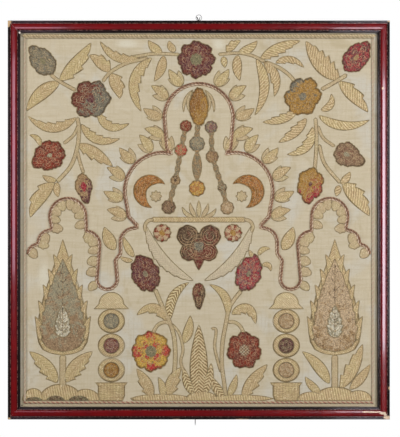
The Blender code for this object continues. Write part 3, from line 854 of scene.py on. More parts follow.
# A wire eye: the ring and its wire, the neck's two strands with their turns, and how far each loose
# tail reaches aside and rises
RING_RADIUS, WIRE_RADIUS = 8.0 * MM, 0.6 * MM
NECK_POINTS, NECK_TURN = 48, 10
TAIL_POINTS = 8
TAILS = ((-6.5, 11.5), (-4.5, 10.5), (3.5, 10.5))


def wire_eye(name, node, edge_on, upwards):
    """A wire bent to a ring, its twisted neck down into the rail and three loose tails."""
    low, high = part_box(node)
    ring_radius, wire = RING_RADIUS, WIRE_RADIUS
    middle_z = high.z - ring_radius - wire if upwards else low.z + ring_radius + wire
    middle = Vector(((low.x + high.x) / 2, (low.y + high.y) / 2, middle_z))
    deselect()
    turn = (math.radians(90), 0, math.radians(90) if edge_on else 0)
    bpy.ops.mesh.primitive_torus_add(major_radius=ring_radius, minor_radius=wire, major_segments=40,
                                     minor_segments=12, location=middle, rotation=turn)
    ring = bpy.context.object
    sign = 1 if upwards else -1
    neck = middle.z - sign * ring_radius
    foot = low.z if upwards else high.z
    strands = bpy.data.curves.new(name + "_neck", "CURVE")
    strands.dimensions = "3D"
    strands.bevel_depth = 1.0 * MM
    strands.bevel_resolution = 1
    strands.use_fill_caps = True
    for phase in (0, math.pi):
        spline = strands.splines.new("POLY")
        spline.points.add(NECK_POINTS - 1)
        for i, point in enumerate(spline.points):
            t = i / (NECK_POINTS - 1)
            angle = phase + NECK_TURN * t
            swell = 0.62 + 0.5 * (1 - t) ** 6
            point.co = (middle.x + swell * MM * math.cos(angle), middle.y + swell * MM * math.sin(angle),
                        neck + (foot - neck) * t, 1)
    for reach, rise in TAILS:
        spline = strands.splines.new("POLY")
        spline.points.add(TAIL_POINTS - 1)
        for i, point in enumerate(spline.points):
            t = i / (TAIL_POINTS - 1)
            way = Vector((0, reach, 0)) if edge_on else Vector((reach, 0, 0))
            off = way * t + Vector((0, 0, sign * (rise * t - 1)))
            spot = Vector((middle.x, middle.y, neck)) + off * MM
            point.co = (*spot, 1)
    as_mesh(name + "_neck", strands)
    ring.select_set(True)
    bpy.context.view_layer.objects.active = ring
    bpy.ops.object.join()
    piece = bpy.context.object
    bpy.ops.object.transform_apply(location=True, rotation=True, scale=True)
    tidy(piece)
    piece.data.materials.clear()
    piece.data.materials.append(bpy.data.materials.get("dull_wire") or plated_wire())
    return declare(piece, name, "steel_wire", node)


class EMBROIDERY_OT_wire_rings(bpy.types.Operator):
    """The ring that the panel hangs by, and the same ring edge on at the foot"""
    bl_idname = "embroidery.wire_rings"
    bl_label = "Wire rings"

    def execute(self, context):
        wire_eye("wire_ring_top", "hanging_ring", False, True)
        wire_eye("wire_ring_foot", "tether_ring", True, False)
        return {"FINISHED"}


# Cloth and cords


class EMBROIDERY_OT_cloth(bpy.types.Operator):
    """The stretched ground cloth, slightly uneven between the stitches"""
    bl_idname = "embroidery.cloth"
    bl_label = "Ground cloth"
    thickness = 1.4 * MM

    def execute(self, context):
        deselect()
        bpy.ops.mesh.primitive_grid_add(x_subdivisions=168, y_subdivisions=176, size=1)
        cloth = bpy.context.object
        places = np.empty(3 * len(cloth.data.vertices))
        cloth.data.vertices.foreach_get("co", places)
        u, v, _ = places.reshape(-1, 3).T
        width, height = CLOTH_HIGH.x - CLOTH_LOW.x, CLOTH_HIGH.z - CLOTH_LOW.z
        x, z = u * width, v * height
        held = np.clip((0.5 - np.maximum(np.abs(u), np.abs(v))) * 14, 0, 1)
        wide, narrow, along = crumb(x, z, 0.16), crumb(z + 0.3, x, 0.07), crumb(x * 0.3, z * 2.0, 0.05)
        waves = 0.5 * wide + 0.35 * narrow + 0.25 * along
        y = FACE_Y - sizes().cloth_unevenness * waves * held
        settled = np.stack((CLOTH_MIDDLE.x + x, y, CLOTH_MIDDLE.z + z), axis=1)
        cloth.data.vertices.foreach_set("co", settled.ravel())
        cloth.data.update()
        thicken = cloth.modifiers.new("thickness", "SOLIDIFY")
        thicken.thickness = self.thickness
        thicken.offset = -1
        bpy.ops.object.modifier_apply(modifier=thicken.name)
        tidy(cloth)
        cloth.data.materials.append(ground_weave())
        declare(cloth, "stretched_cloth", "ground_silk", "ground_cloth")
        return {"FINISHED"}


def laid_cord(name, slot, line, radius, pitch, materials, *nodes):
    """A cord twisted from strands, laid along a line on the cloth."""
    line = evenly(line, pitch / 9)
    ahead = np.gradient(line, axis=0)
    ahead /= np.hypot(*ahead.T)[:, None]
    gone = np.concatenate(([0], np.cumsum(np.hypot(*np.diff(line, axis=0).T))))
    made_strands = []
    for number, material in enumerate(materials):
        data = bpy.data.curves.new(f"{name}_{number}", "CURVE")
        data.dimensions = "3D"
        data.bevel_depth = radius * 0.56 * MM
        data.bevel_resolution = 1
        data.use_fill_caps = True
        spline = data.splines.new("POLY")
        spline.points.add(len(line) - 1)
        phase = 2 * math.pi * (gone / pitch + number / len(materials))
        off, up = 0.46 * radius * np.cos(phase), 0.46 * radius * np.sin(phase)
        x = CLOTH_MIDDLE.x + (line[:, 0] - ahead[:, 1] * off) * MM
        z = CLOTH_MIDDLE.z + (line[:, 1] + ahead[:, 0] * off) * MM
        y = FACE_Y - (radius * 0.9 + up) * MM
        spline.points.foreach_set("co", np.stack((x, y, z, np.ones(len(x))), axis=1).ravel())
        strand_piece = as_mesh(f"{name}_{number}", data)
        strand_piece.data.materials.append(material)
        made_strands.append(strand_piece)
    deselect()
    for obj in made_strands:
        obj.select_set(True)
    bpy.context.view_layer.objects.active = made_strands[0]
    bpy.ops.object.join()
    piece = bpy.context.object
    tidy(piece)
    return declare(piece, name, slot, *nodes)


class EMBROIDERY_OT_border_cords(bpy.types.Operator):
    """Twisted cords of silk and metal thread along the four edges of the cloth"""
    bl_idname = "embroidery.border_cords"
    bl_label = "Border cords"
    braid_width = 8

    def execute(self, context):
        hues = colours()
        dark = strand("border_strand_dark", tint(172, 154, 124), tint(152, 134, 104))
        faded = strand("border_strand_faded", tint(196, 180, 148), tint(184, 168, 136))
        pale = strand("border_strand_pale", tint(200, 184, 150), tint(186, 168, 136))
        pink = strand("border_strand_pink", tint(198, 172, 150), tint(188, 166, 142))
        rose = strand("border_strand_rose", tint(172, 112, 98), tint(150, 96, 80))
        grey = strand("border_strand_grey", hues.border_grey, tint(200, 188, 162))
        radius, pitch = sizes().border_cord_radius / MM, sizes().border_cord_pitch / MM
        for side in ("top", "bottom", "left", "right"):
            node = "border_cord_" + side
            low, high = ((corner - CLOTH_MIDDLE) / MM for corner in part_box(node))
            middle = (low + high) / 2
            if side in ("top", "bottom"):
                ends = ((low.x, middle.z), (high.x, middle.z))
            else:
                ends = ((middle.x, low.z), (middle.x, high.z))
            pair = {"top": (dark, faded), "bottom": (rose, pale)}.get(side, (pink, grey))
            laid_cord("laid_cord_" + side, "border_cord", np.array(ends), radius, pitch, pair, node)
        self.braid()
        return {"FINISHED"}

    def braid(self):
        """A flat braid that fills the way from the cords to the top and bottom rails."""
        sight_x = (FRAME_WIDTH / 2 - RAIL_WIDTH) / MM
        sight_z = (FRAME_HEIGHT / 2 - RAIL_WIDTH) / MM
        braid = Sewn("border_braid")
        top_thread = made(gold, "gold_braid", "satin", 1.3, 0.7, 0.2)
        foot_thread = made(gold, "gold_fringe", "satin", 1.0, 0.5, 0.7)
        rows = ((1, self.braid_width, top_thread), (-1, self.braid_width - 1, foot_thread))
        for sign, width, thread in rows:
            z = sign * (sight_z - 0.5 - width / 2) - (1.5 if sign > 0 else 0)
            braid.strip(bowed((-sight_x, z), (sight_x, z), 0), width, thread, rise=0.8, belly=0, across=10,
                        step=7, outline=False)
        braid.finish("border_cord")


# The niche cord's right half, from the crown down: arcs by centre, radius and the angles where they
# start and end. Straight stretches join them, and a radius of 0 is a point.
Arc = namedtuple("Arc", "x z radius start end")
NICHE = (
    Arc(0, 283, 98, 90, 0),
    Arc(90, 196, 0, 0, 0),
    Arc(77, 186, 0, 0, 0),
    Arc(98, 80, 110, 90, -14),
    Arc(197, 8, 0, 0, 0),
    Arc(172, -18, 0, 0, 0),
    Arc(178, -62, 42, 78, 0),
    Arc(220, -92, 0, 0, 0),
    Arc(234, -112, 0, 0, 0),
    Arc(255, -164, 26, 168, 372),
    Arc(314, -70, 41, 180, 94),
    Arc(311, -8, 0, 0, 0),
    Arc(364, 10, 52, 184, -8),
    Arc(410, -24, 0, 0, 0),
    Arc(412, -62, 36, 80, 0),
    Arc(448, -94, 28, 80, 0),
)
LOBE_FOOT = 4
LOOP_FOOT = 9


def niche_line(first=0, last=len(NICHE)):
    """The niche cord's points on the right-hand side, from one arc to another."""
    points = []
    for arc in NICHE[first:last]:
        angles = np.radians(np.linspace(arc.start, arc.end, 25 if arc.radius else 1))
        points += [(arc.x + arc.radius * math.cos(a), arc.z + arc.radius * math.sin(a)) for a in angles]
    return np.array(points)


class EMBROIDERY_OT_niche_cord(bpy.types.Operator):
    """One twisted cord that outlines the niche and both side arches"""
    bl_idname = "embroidery.niche_cord"
    bl_label = "Niche cord"
    row_offset = 4.6

    def execute(self, context):
        hues = colours()
        brown = strand("cord_strand_brown", hues.cord_brown, tint(118, 84, 66))
        glint = strand("cord_strand_glint", hues.cord_glint, hues.cord_brown)
        pale = strand("cord_strand_pale", tint(238, 220, 198), tint(214, 186, 158))
        dull = strand("cord_strand_dull", tint(180, 146, 120), tint(150, 114, 92))
        right = niche_line()
        line = np.vstack((right[1:][::-1] * (-1, 1), right))
        radius, pitch = sizes().niche_cord_radius / MM, sizes().niche_cord_pitch / MM
        laid_cord("laid_niche_cord", "niche_cord", line, radius, pitch, (brown, glint), "niche_cord")
        line = evenly(line, 4.0)
        ahead = np.gradient(line, axis=0)
        ahead /= np.hypot(*ahead.T)[:, None]
        inward = np.stack((ahead[:, 1], -ahead[:, 0]), axis=1)
        row = line + self.row_offset * inward
        laid_cord("laid_niche_row", "niche_cord", row, 0.66 * radius, 1.3 * pitch, (pale, dull))
        thread = Sewn("niche_thread")
        thin = row + 0.55 * self.row_offset * inward
        thread.lay(thin[:, 0], thin[:, 1], made(vein_thread, "vein_brown", "brown"), 0.6, 0.9)
        thread.finish("niche_cord")
        return {"FINISHED"}


# Blossoms and buds, which have the solids' outlines: middle, half width and half height, petals,
# notch depth, drawn-out tip and lean, then the threads of petals and centre, the centre's size, how
# the two threads of the petals are laid out, and the thread that draws the petals
Bloom = namedtuple(
    "Bloom", "node x z half_width half_height petals notch tip lean first second centre size figure vein"
)
BLOOMS = (
    Bloom("blossom_top", -7, 446, 53, 53, 8, 0.16, 0.0, 0,
          "plum", "wine", "sage", 0.34, "plain", "mauve"),
    Bloom("blossom_left", -300, 336, 56, 54, 6, 0.2, 0.0, 30,
          "wine", "slate", "plum", 0.2, "halves", "mist"),
    Bloom("blossom_right", 289, 343, 50, 57, 6, 0.2, 0.0, -30,
          "ochre", "slate", "slate", 0.22, "crown", "umber"),
    Bloom("bud_corner_left", -433, 440, 33, 44, 6, 0.1, 0.28, 40,
          "grey", "slate", "sage", 0.2, "plain", "mist"),
    Bloom("bud_corner_right", 437, 451, 34, 47, 6, 0.1, 0.2, -40,
          "crimson", "plum", "tan", 0.2, "plain", "salmon"),
    Bloom("blossom_side_left", -414, 180, 42, 44, 7, 0.12, 0.3, 120,
          "red", "wine", "mist", 0.14, "plain", "salmon"),
    Bloom("blossom_side_right", 409, 183, 35, 34, 7, 0.12, 0.7, -117,
          "hazel", "brown", "mist", 0.18, "plain", "wine"),
    Bloom("bud_low_left", -320, 94, 24, 36, 4, 0.14, 0.4, 190,
          "plum", "tan", "crimson", 0.3, "halves", "tan"),
    Bloom("bud_low_right", 310, 100, 38, 47, 6, 0.18, 0.2, -190,
          "crimson", "ochre", "plum", 0.16, "thirds", "tan"),
    Bloom("flower_upper_left", -148, -150, 40, 52, 8, 0.12, 0.1, 22,
          "plum", "wine", "grey", 0.16, "plain", "mauve"),
    Bloom("flower_upper_right", 138, -150, 36, 51, 8, 0.12, 0.15, -22,
          "crimson", "mauve", "grey", 0.18, "plain", "salmon"),
    Bloom("flower_lower_left", -133, -365, 54, 57, 8, 0.12, 0.0, 0,
          "yellow", "scarlet", "sage", 0.28, "patches", "umber"),
    Bloom("flower_lower_right", 126, -362, 49, 53, 7, 0.18, 0.0, 0,
          "red", "wine", "brown", 0.32, "plain", "wine"),
    Bloom("pendant_drop", 0, -204, 18, 30, 3, 0.06, 0.5, 180,
          "umber", "wine", "brown", 0.0, "halves", "tan"),
    Bloom("rosette_bowl_left", -102, -36, 25, 25, 12, 0.1, 0.0, 0,
          "red", "sand", "ochre", 0.4, "petals", "sand"),
    Bloom("rosette_bowl_right", 95, -36, 25, 25, 12, 0.1, 0.0, 0,
          "sand", "red", "ochre", 0.4, "petals", "sand"),
    Bloom("lamp", 0, 314, 27, 54, 4, 0.08, 0.0, 0, "amber", "ochre", "ochre", 0.0, "halves", "brown"),
)
TIP_SHARPNESS = 8
NOTCH_SHOWN = 0.9


def scalloped(bloom):
    """A blossom's outline by angle: an ellipse with notched, crinkled petals and a drawn-out tip."""

    def shape(angle):
        petal = np.abs(np.cos(bloom.petals * (angle - math.pi / 2) / 2)) ** 0.8
        reach = 1 - NOTCH_SHOWN * bloom.notch * (1 - petal)
        reach = reach + 0.022 * np.sin(11 * angle + 1) + 0.016 * np.sin(23 * angle)
        reach = reach + bloom.tip * np.maximum(0, np.sin(angle)) ** TIP_SHARPNESS
        x, z = bloom.half_width * reach * np.cos(angle), bloom.half_height * reach * np.sin(angle)
        return turned(x, z, bloom.lean)

    return shape


# The palmette's round lobes about its own middle, and the point at its foot
Lobe = namedtuple("Lobe", "x z radius")
PALMETTE_Z = -75
PALMETTE_LOBES = (Lobe(0, 0, 40), Lobe(31, 31, 30), Lobe(-31, 31, 30), Lobe(27, -14, 25), Lobe(-27, -14, 25))
PALMETTE_POINT = 64
PALMETTE_POINT_SPREAD = math.radians(52)


def palmette_shape(angle):
    """Two wide lobes over two smaller ones, with a point at the foot."""
    c, s = np.cos(angle), np.sin(angle)
    below = (angle + 0.5 * math.pi) % (2 * math.pi)
    reach = PALMETTE_POINT * (1 - np.minimum(below, 2 * math.pi - below) / PALMETTE_POINT_SPREAD)
    for lobe in PALMETTE_LOBES:
        beside = lobe.x * s - lobe.z * c
        inside = np.abs(beside) < lobe.radius
        chord = np.sqrt(np.where(inside, lobe.radius**2 - beside**2, 0))
        reach = np.where(inside, np.maximum(reach, lobe.x * c + lobe.z * s + chord), reach)
    reach = reach * (1 + 0.015 * np.sin(19 * angle))
    return reach * c, reach * s


class EMBROIDERY_OT_blossoms(bpy.types.Operator):
    """Blossoms, buds, lamp, palmette and rosettes in looped silk"""
    bl_idname = "embroidery.blossoms"
    bl_label = "Blossoms"

    def execute(self, context):
        for bloom in BLOOMS:
            thread = silk("looped_" + bloom.node, bloom.first, bloom.second, bloom.centre)
            vein = made(vein_thread, "vein_" + bloom.vein, bloom.vein)
            size = max(bloom.half_width, bloom.half_height)
            sewn = Sewn("sewn_" + bloom.node)
            sewn.pad((bloom.x, bloom.z), scalloped(bloom), thread, rings=max(9, round(size / 2.6)),
                     around=int(np.clip(size * 3, 64, 168)), petals=bloom.petals, zone=bloom.size,
                     figure=bloom.figure, outline=True)
            sewn.petal_threads((bloom.x, bloom.z), scalloped(bloom), bloom.petals, vein)
            if bloom.node == "flower_lower_right":
                self.chequer(sewn, bloom)
            sewn.finish("silk_" + bloom.node, bloom.node)
        self.palmette()
        return {"FINISHED"}

    def chequer(self, sewn, bloom):
        """Crossed stitches over the middle of a flower."""
        pale = made(vein_thread, "vein_ivory", "ivory")
        reach = 0.9 * bloom.size * bloom.half_width
        for step in (-0.66, -0.22, 0.22, 0.66):
            half = reach * math.sqrt(1 - step**2)
            for turn in (45, 135):
                x, z = turned(np.array((-half, 0, half)), np.full(3, step * reach), turn)
                sewn.lay(bloom.x + x, bloom.z + z, pale, sizes().silk_rise / MM, 0.6)

    def palmette(self):
        """Dark looped silk, crimson on its right side, with a scroll of stitches in each lobe."""
        palmette = Sewn("sewn_palmette")
        middle = (0, PALMETTE_Z)
        thread = silk("looped_palmette", "umber", "wine", "slate")
        palmette.pad(middle, palmette_shape, thread, rings=24, around=168, zone=0.22, figure="halves",
                     outline=True)
        for number, lobe in enumerate(PALMETTE_LOBES):
            for share in (0.35, 0.6, 0.85):
                turn = np.linspace(0.4, 5.2, 18) + number + share
                reach = share * lobe.radius
                x, z = lobe.x + reach * np.cos(turn), lobe.z + reach * np.sin(turn)
                hue = "tan" if share > 0.5 else "mist"
                vein = made(vein_thread, "vein_" + hue, hue)
                palmette.lay(middle[0] + x, middle[1] + z, vein, sizes().silk_rise / MM + 0.1, 0.6)
        palmette.finish("silk_palmette", "palmette")


# Leaves: base, tip, width, how far they bow to the left of the way they grow, and their teeth, which
# are on the left where the number is positive
Leaf = namedtuple("Leaf", "x z tip_x tip_z width bow teeth", defaults=(0, 0))
LEFT_SCROLL_LEAVES = (
    Leaf(-386, 388, -300, 492, 38, -6, -4),
    Leaf(-388, 382, -478, 304, 38, -10),
    Leaf(-342, 284, -474, 288, 26, 30, -5),
    Leaf(-280, 300, -194, 268, 24, -26, 4),
    Leaf(-326, 266, -220, 226, 25, -24, 5),
    Leaf(-336, 210, -240, 150, 33, 4, -4),
    Leaf(-440, 206, -470, 236, 15, -8),
    Leaf(-396, 110, -434, 124, 17, 4),
    Leaf(-392, 104, -390, 64, 19, -4),
    Leaf(-402, 104, -468, 8, 38, -10, -3),
    Leaf(-164, 450, -274, 496, 24, 22, -5),
    Leaf(-102, 466, -140, 499, 24, 5),
    Leaf(-64, 470, -82, 498, 20, 5),
    Leaf(-98, 456, -124, 386, 26, 6),
    Leaf(-132, 450, -160, 302, 30, -34, 6),
    Leaf(-248, 412, -304, 458, 33, -5, -3),
    Leaf(-246, 406, -220, 338, 36, 6, 3),
)
RIGHT_SCROLL_LEAVES = (
    Leaf(78, 466, 116, 498, 22, 5, 3),
    Leaf(110, 466, 162, 498, 24, -7),
    Leaf(109, 458, 114, 388, 26, -5),
    Leaf(68, 454, 73, 424, 18),
    Leaf(160, 447, 156, 292, 28, 24),
    Leaf(180, 440, 210, 344, 26, 18, -3),
    Leaf(172, 447, 282, 498, 30, 6, -5),
    Leaf(214, 436, 292, 424, 19, 16, -3),
    Leaf(390, 391, 298, 497, 48, 8, -6),
    Leaf(390, 384, 470, 300, 37, 4, 3),
    Leaf(340, 306, 368, 350, 20, -14),
    Leaf(334, 290, 474, 278, 26, -22),
    Leaf(272, 302, 178, 272, 24, 8, -4),
    Leaf(298, 282, 222, 216, 26, 8, -4),
    Leaf(316, 258, 246, 182, 26, 24, -4),
    Leaf(394, 102, 420, 134, 20, -4),
    Leaf(390, 96, 382, 66, 18),
    Leaf(400, 102, 474, 12, 42, 6, 4),
)
# Stems: their width, and the few points that they run through
Stem = namedtuple("Stem", "width points")
LEFT_SCROLL_STEMS = (
    Stem(8, ((-54, 460), (-124, 462), (-184, 453))),
    Stem(9, ((-140, 450), (-200, 436), (-244, 412), (-268, 384))),
    Stem(9, ((-342, 360), (-388, 386), (-412, 404))),
    Stem(10, ((-338, 286), (-333, 250), (-338, 200), (-356, 150), (-394, 106))),
    Stem(8, ((-334, 264), (-348, 236), (-376, 212))),
    Stem(8, ((-338, 192), (-330, 160), (-320, 130))),
)
RIGHT_SCROLL_STEMS = (
    Stem(8, ((54, 460), (110, 464), (150, 456), (186, 438))),
    Stem(9, ((184, 440), (222, 424), (250, 404), (266, 386))),
    Stem(10, ((340, 362), (376, 382), (412, 404))),
    Stem(9, ((324, 284), (327, 240), (326, 190), (322, 140))),
    Stem(8, ((330, 262), (346, 228), (378, 204))),
    Stem(9, ((334, 210), (350, 156), (394, 102))),
)


def sew_leaves(sewn, leaves, material, **settings):
    for number, leaf in enumerate(leaves):
        spine = bowed((leaf.x, leaf.z), (leaf.tip_x, leaf.tip_z), leaf.bow)
        sewn.strip(spine, leaf.width, material, belly=0.8, teeth=abs(leaf.teeth), side=leaf.teeth,
                   tone=(number * 0.37) % 1, **settings)


def sew_stems(sewn, stems, material):
    for stem in stems:
        sewn.strip(line_along(stem.points), stem.width, material, belly=0, rise=1.3, across=10, step=4)


class EMBROIDERY_OT_scrolls(bpy.types.Operator):
    """Stems and serrated leaves that run from the top blossom down both sides"""
    bl_idname = "embroidery.scrolls"
    bl_label = "Scrolls"

    def execute(self, context):
        rows = (
            ("scroll_left", LEFT_SCROLL_STEMS, LEFT_SCROLL_LEAVES, herringbone()),
            ("scroll_right", RIGHT_SCROLL_STEMS, RIGHT_SCROLL_LEAVES, satin()),
        )
        for name, stems, leaves, leaf_thread in rows:
            sewn = Sewn(name)
            sew_stems(sewn, stems, pale_gold())
            sew_leaves(sewn, leaves, leaf_thread)
            sewn.finish("gold_thread")
        return {"FINISHED"}


def spaced(line, count, start=0.0, end=1.0):
    """Points at equal steps along a line, each with the way the line runs there."""
    even = evenly(line, 1.0)
    ahead = np.gradient(even, axis=0)
    ahead /= np.hypot(*ahead.T)[:, None]
    picks = np.rint(np.linspace(start, end, count) * (len(even) - 1)).astype(int)
    return [(even[i], ahead[i]) for i in picks]


class EMBROIDERY_OT_arch_leaves(bpy.types.Operator):
    """Flame leaves outside the niche, and round scallops along the side arches"""
    bl_idname = "embroidery.arch_leaves"
    bl_label = "Arch leaves"
    flames = 10
    flame_length = 58
    flame_width = 31
    scallops = 17
    scallop_length = 31
    scallop_width = 27

    def flame_rows(self):
        """Flames stand out from the cord and lean up."""
        for place, ahead in spaced(niche_line(0, LOBE_FOOT + 1), self.flames, 0.09, 1.0):
            outward = math.degrees(math.atan2(ahead[0], -ahead[1]))
            lean = math.radians(0.42 * outward + 0.58 * 44)
            grown = place + 4 * np.array((-ahead[1], ahead[0]))
            yield grown, grown + self.flame_length * np.array((math.cos(lean), math.sin(lean)))

    def scallop_rows(self):
        """Scallops sit on the cypress side of the cord, from the loop's foot to the border."""
        for place, ahead in spaced(niche_line(LOOP_FOOT), self.scallops, 0.13, 0.97):
            side = np.array((ahead[1], -ahead[0]))
            drop = 0.35 * np.array((0, -1))
            way = side + drop
            way /= np.hypot(*way)
            base = place + 3 * side
            yield base, base + self.scallop_length * way

    def execute(self, context):
        for side, sign in (("left", -1), ("right", 1)):
            flip = np.array((sign, 1))
            sewn = Sewn("arch_leaves_" + side)
            for number, (base, tip) in enumerate(self.flame_rows()):
                spine = bowed(base * flip, tip * flip, sign * (4 if number % 2 else -3))
                for turn in (-26, 26):
                    aside = base + turned(*(0.74 * (tip - base)), turn)
                    petal = bowed(base * flip, aside * flip, 0)
                    sewn.strip(petal, 0.6 * self.flame_width, pale_gold(), rise=1.0, belly=0.8,
                               tone=(number * 0.31) % 1)
                sewn.strip(spine, 0.86 * self.flame_width, herringbone(), belly=0.72, rise=2.0,
                           tone=(number * 0.41) % 1)
            for number, (base, tip) in enumerate(self.scallop_rows()):
                spine = bowed(base * flip, tip * flip, sign * 3)
                sewn.strip(spine, self.scallop_width * (0.9 + 0.1 * (number % 3)), pale_gold(), belly=0.8,
                           fullness=0.6, teeth=3 if number % 2 else 0, side=sign * (1 if number % 4 else -1),
                           depth=0.3, tone=(number * 0.61) % 1)
            extra = bowed(np.array((232, -82)) * flip, np.array((262, -20)) * flip, sign * -4)
            sewn.strip(extra, 34, herringbone(), belly=0.8)
            sewn.finish("gold_thread")
        return {"FINISHED"}


# Beads of the three chains that hang from the lamp: middle, radius and thread colours
Bead = namedtuple("Bead", "x z radius first second")
CHAINS = (
    (
        Bead(-36, 261, 17, "wine", "red"),
        Bead(-50, 194, 18, "scarlet", "tan"),
        Bead(-65, 110, 14, "tan", "umber"),
        Bead(-84, 36, 20, "umber", "brown"),
    ),
    (
        Bead(-5, 212, 22, "slate", "mist"),
        Bead(-5, 88, 23, "yellow", "orange"),
    ),
    (
        Bead(34, 258, 18, "slate", "mauve"),
        Bead(37, 176, 18, "brown", "tan"),
        Bead(65, 90, 13, "umber", "mist"),
        Bead(79, 34, 19, "tan", "sand"),
    ),
)


def round_shape(radius, stretch=1.0):
    return lambda angle: (radius * np.cos(angle), stretch * radius * np.sin(angle))


def star_shape(radius, points, depth):
    """A round shape with points, between which it draws in by twice the given share."""

    def shape(angle):
        reach = radius * (1 - depth + depth * np.cos(points * angle))
        return reach * np.cos(angle), reach * np.sin(angle)

    return shape


class EMBROIDERY_OT_chains(bpy.types.Operator):
    """Chains of beads and twisted links under the lamp, with thin sprays beside it"""
    bl_idname = "embroidery.chains"
    bl_label = "Chains"
    link_length = 24
    link_width = 7.5
    link_swing = 3.4

    def twist(self, sewn, start, end, material):
        """Two strands that cross once a link."""
        line = bowed(start, end, 0)
        way = np.array(end, dtype=float) - start
        length = np.hypot(*way)
        left = np.array((-way[1], way[0])) / length
        links = max(1, round(length / self.link_length))
        swing = self.link_swing * np.sin(math.pi * links * np.linspace(0, 1, len(line)))[:, None]
        for sign in (1, -1):
            sewn.strip(line + sign * swing * left, self.link_width, material, rise=1.9 + 0.3 * sign, belly=0,
                       across=12, step=3)

    def execute(self, context):
        link = silk("looped_links", "tan", "grey", "tan", 0.8)
        sewn = Sewn("lamp_chains")
        for chain in CHAINS:
            for upper, lower in zip(chain, chain[1:]):
                self.twist(sewn, (upper.x, upper.z), (lower.x, lower.z), link)
            for bead in chain:
                name = f"bead_{bead.first}_{bead.second}"
                thread = made(silk, name, bead.first, bead.second, bead.second, 0.8)
                middle, shape = (bead.x, bead.z), star_shape(bead.radius, 9, 0.04)
                sewn.pad(middle, shape, thread, rings=9, around=60, petals=6, rise=2.6, zone=0.3,
                         outline=True)
                sewn.petal_threads(middle, shape, 6, made(vein_thread, "vein_tan", "tan"), 2.7, 2)
        self.twist(sewn, (-3, 266), (-5, 228), link)
        sewn.strip(bowed((-5, 192), (-5, 108), 0), 26, link, rise=2.0, fullness=0.7, across=20)
        for sign in (-1, 1):
            for reach in (26, 42):
                spine = bowed((sign * 16, 362), (sign * reach, 300), sign * 9)
                sewn.strip(spine, 8, pale_gold(), rise=1.0, across=10)
        sewn.finish("silk_lamp")
        return {"FINISHED"}


# Crescents: a disc with a smaller one bitten out of it, as in the solids
CRESCENT_X, CRESCENT_Z, CRESCENT_RADIUS = 136, 80, 46
CRESCENT_BITE, CRESCENT_SHIFT, CRESCENT_OPENS = 37, 28, math.radians(209)


class EMBROIDERY_OT_crescents(bpy.types.Operator):
    """Two crescents in orange silk, each with a small star in metal thread"""
    bl_idname = "embroidery.crescents"
    bl_label = "Crescents"

    def execute(self, context):
        thread = silk("looped_crescent", "orange", "amber", "orange")
        vein = made(vein_thread, "vein_wine", "wine")
        radius, bite, shift = CRESCENT_RADIUS, CRESCENT_BITE, CRESCENT_SHIFT
        half = math.acos((radius**2 + shift**2 - bite**2) / (2 * radius * shift))
        angle = CRESCENT_OPENS + np.linspace(half + 0.02, 2 * math.pi - half - 0.02, 60)
        off = angle - CRESCENT_OPENS
        inner = shift * np.cos(off) + np.sqrt(bite**2 - (shift * np.sin(off)) ** 2)
        for side, sign in (("left", -1), ("right", 1)):
            sewn = Sewn("sewn_crescent_" + side)

            def arc(share):
                reach = inner + share * (radius - inner)
                x, z = CRESCENT_X + reach * np.cos(angle), CRESCENT_Z + reach * np.sin(angle)
                return np.stack((sign * x, z), axis=1)

            sewn.strip(arc(0.5), 0, thread, rise=2.2, profile=(radius - inner) / 2, across=24)
            for share in (0.3, 0.52, 0.74):
                line = arc(share)[8:-8]
                sewn.lay(line[:, 0], line[:, 1], vein, 2.2, 0.6)
            sewn.finish("silk_crescent", "crescent_" + side)
            star = Sewn("star_" + side)
            star.pad((sign * 119, 66), star_shape(16, 8, 0.14), pale_gold(), rise=1.4, rings=8, around=64,
                     outline=True)
            star.finish("gold_thread")
        return {"FINISHED"}


# The bowl: rim and swags follow the solids
BOWL_RIM_Z, BOWL_RIM_HALF, BOWL_RIM_WIDE = 1, 132, 14
SWAG = Leaf(147, -16, 16, -168, 32, -26, 9)
BOWL_PLANT = (
    Leaf(0, 8, 0, 54, 12),
    Leaf(-7, 8, -24, 48, 12, 4),
    Leaf(7, 8, 26, 46, 12, -4),
    Leaf(-15, 8, -46, 36, 11, 6),
    Leaf(15, 8, 48, 32, 11, -6),
)


class EMBROIDERY_OT_bowl(bpy.types.Operator):
    """The bowl's rim and leafy sides, and the small plant that grows over it"""
    bl_idname = "embroidery.bowl"
    bl_label = "Bowl"

    def execute(self, context):
        rim = Sewn("sewn_bowl_rim")
        spine = bowed((-BOWL_RIM_HALF, BOWL_RIM_Z), (BOWL_RIM_HALF, BOWL_RIM_Z), 0)
        rim.strip(spine, BOWL_RIM_WIDE, herringbone(), belly=0, rise=1.8, across=14)
        rim.finish("gold_thread", "bowl_rim")
        for side, sign in (("left", -1), ("right", 1)):
            swag = Sewn("sewn_swag_" + side)
            spine = bowed((sign * SWAG.x, SWAG.z), (sign * SWAG.tip_x, SWAG.tip_z), -sign * SWAG.bow)
            swag.strip(spine, SWAG.width, light_gold(), belly=1.0, fullness=0.7, teeth=SWAG.teeth, side=sign,
                       depth=0.3, across=22)
            scroll = line_along(((sign * 126, 1), (sign * 142, -3), (sign * 150, -18), (sign * 146, -34)))
            swag.strip(scroll, 9, pale_gold(), belly=0, rise=1.4, across=10)
            swag.finish("gold_thread", "bowl_swag_" + side)
        plant = Sewn("bowl_plant")
        sew_leaves(plant, BOWL_PLANT, pale_gold(), rise=1.1)
        plant.finish("gold_thread")
        return {"FINISHED"}


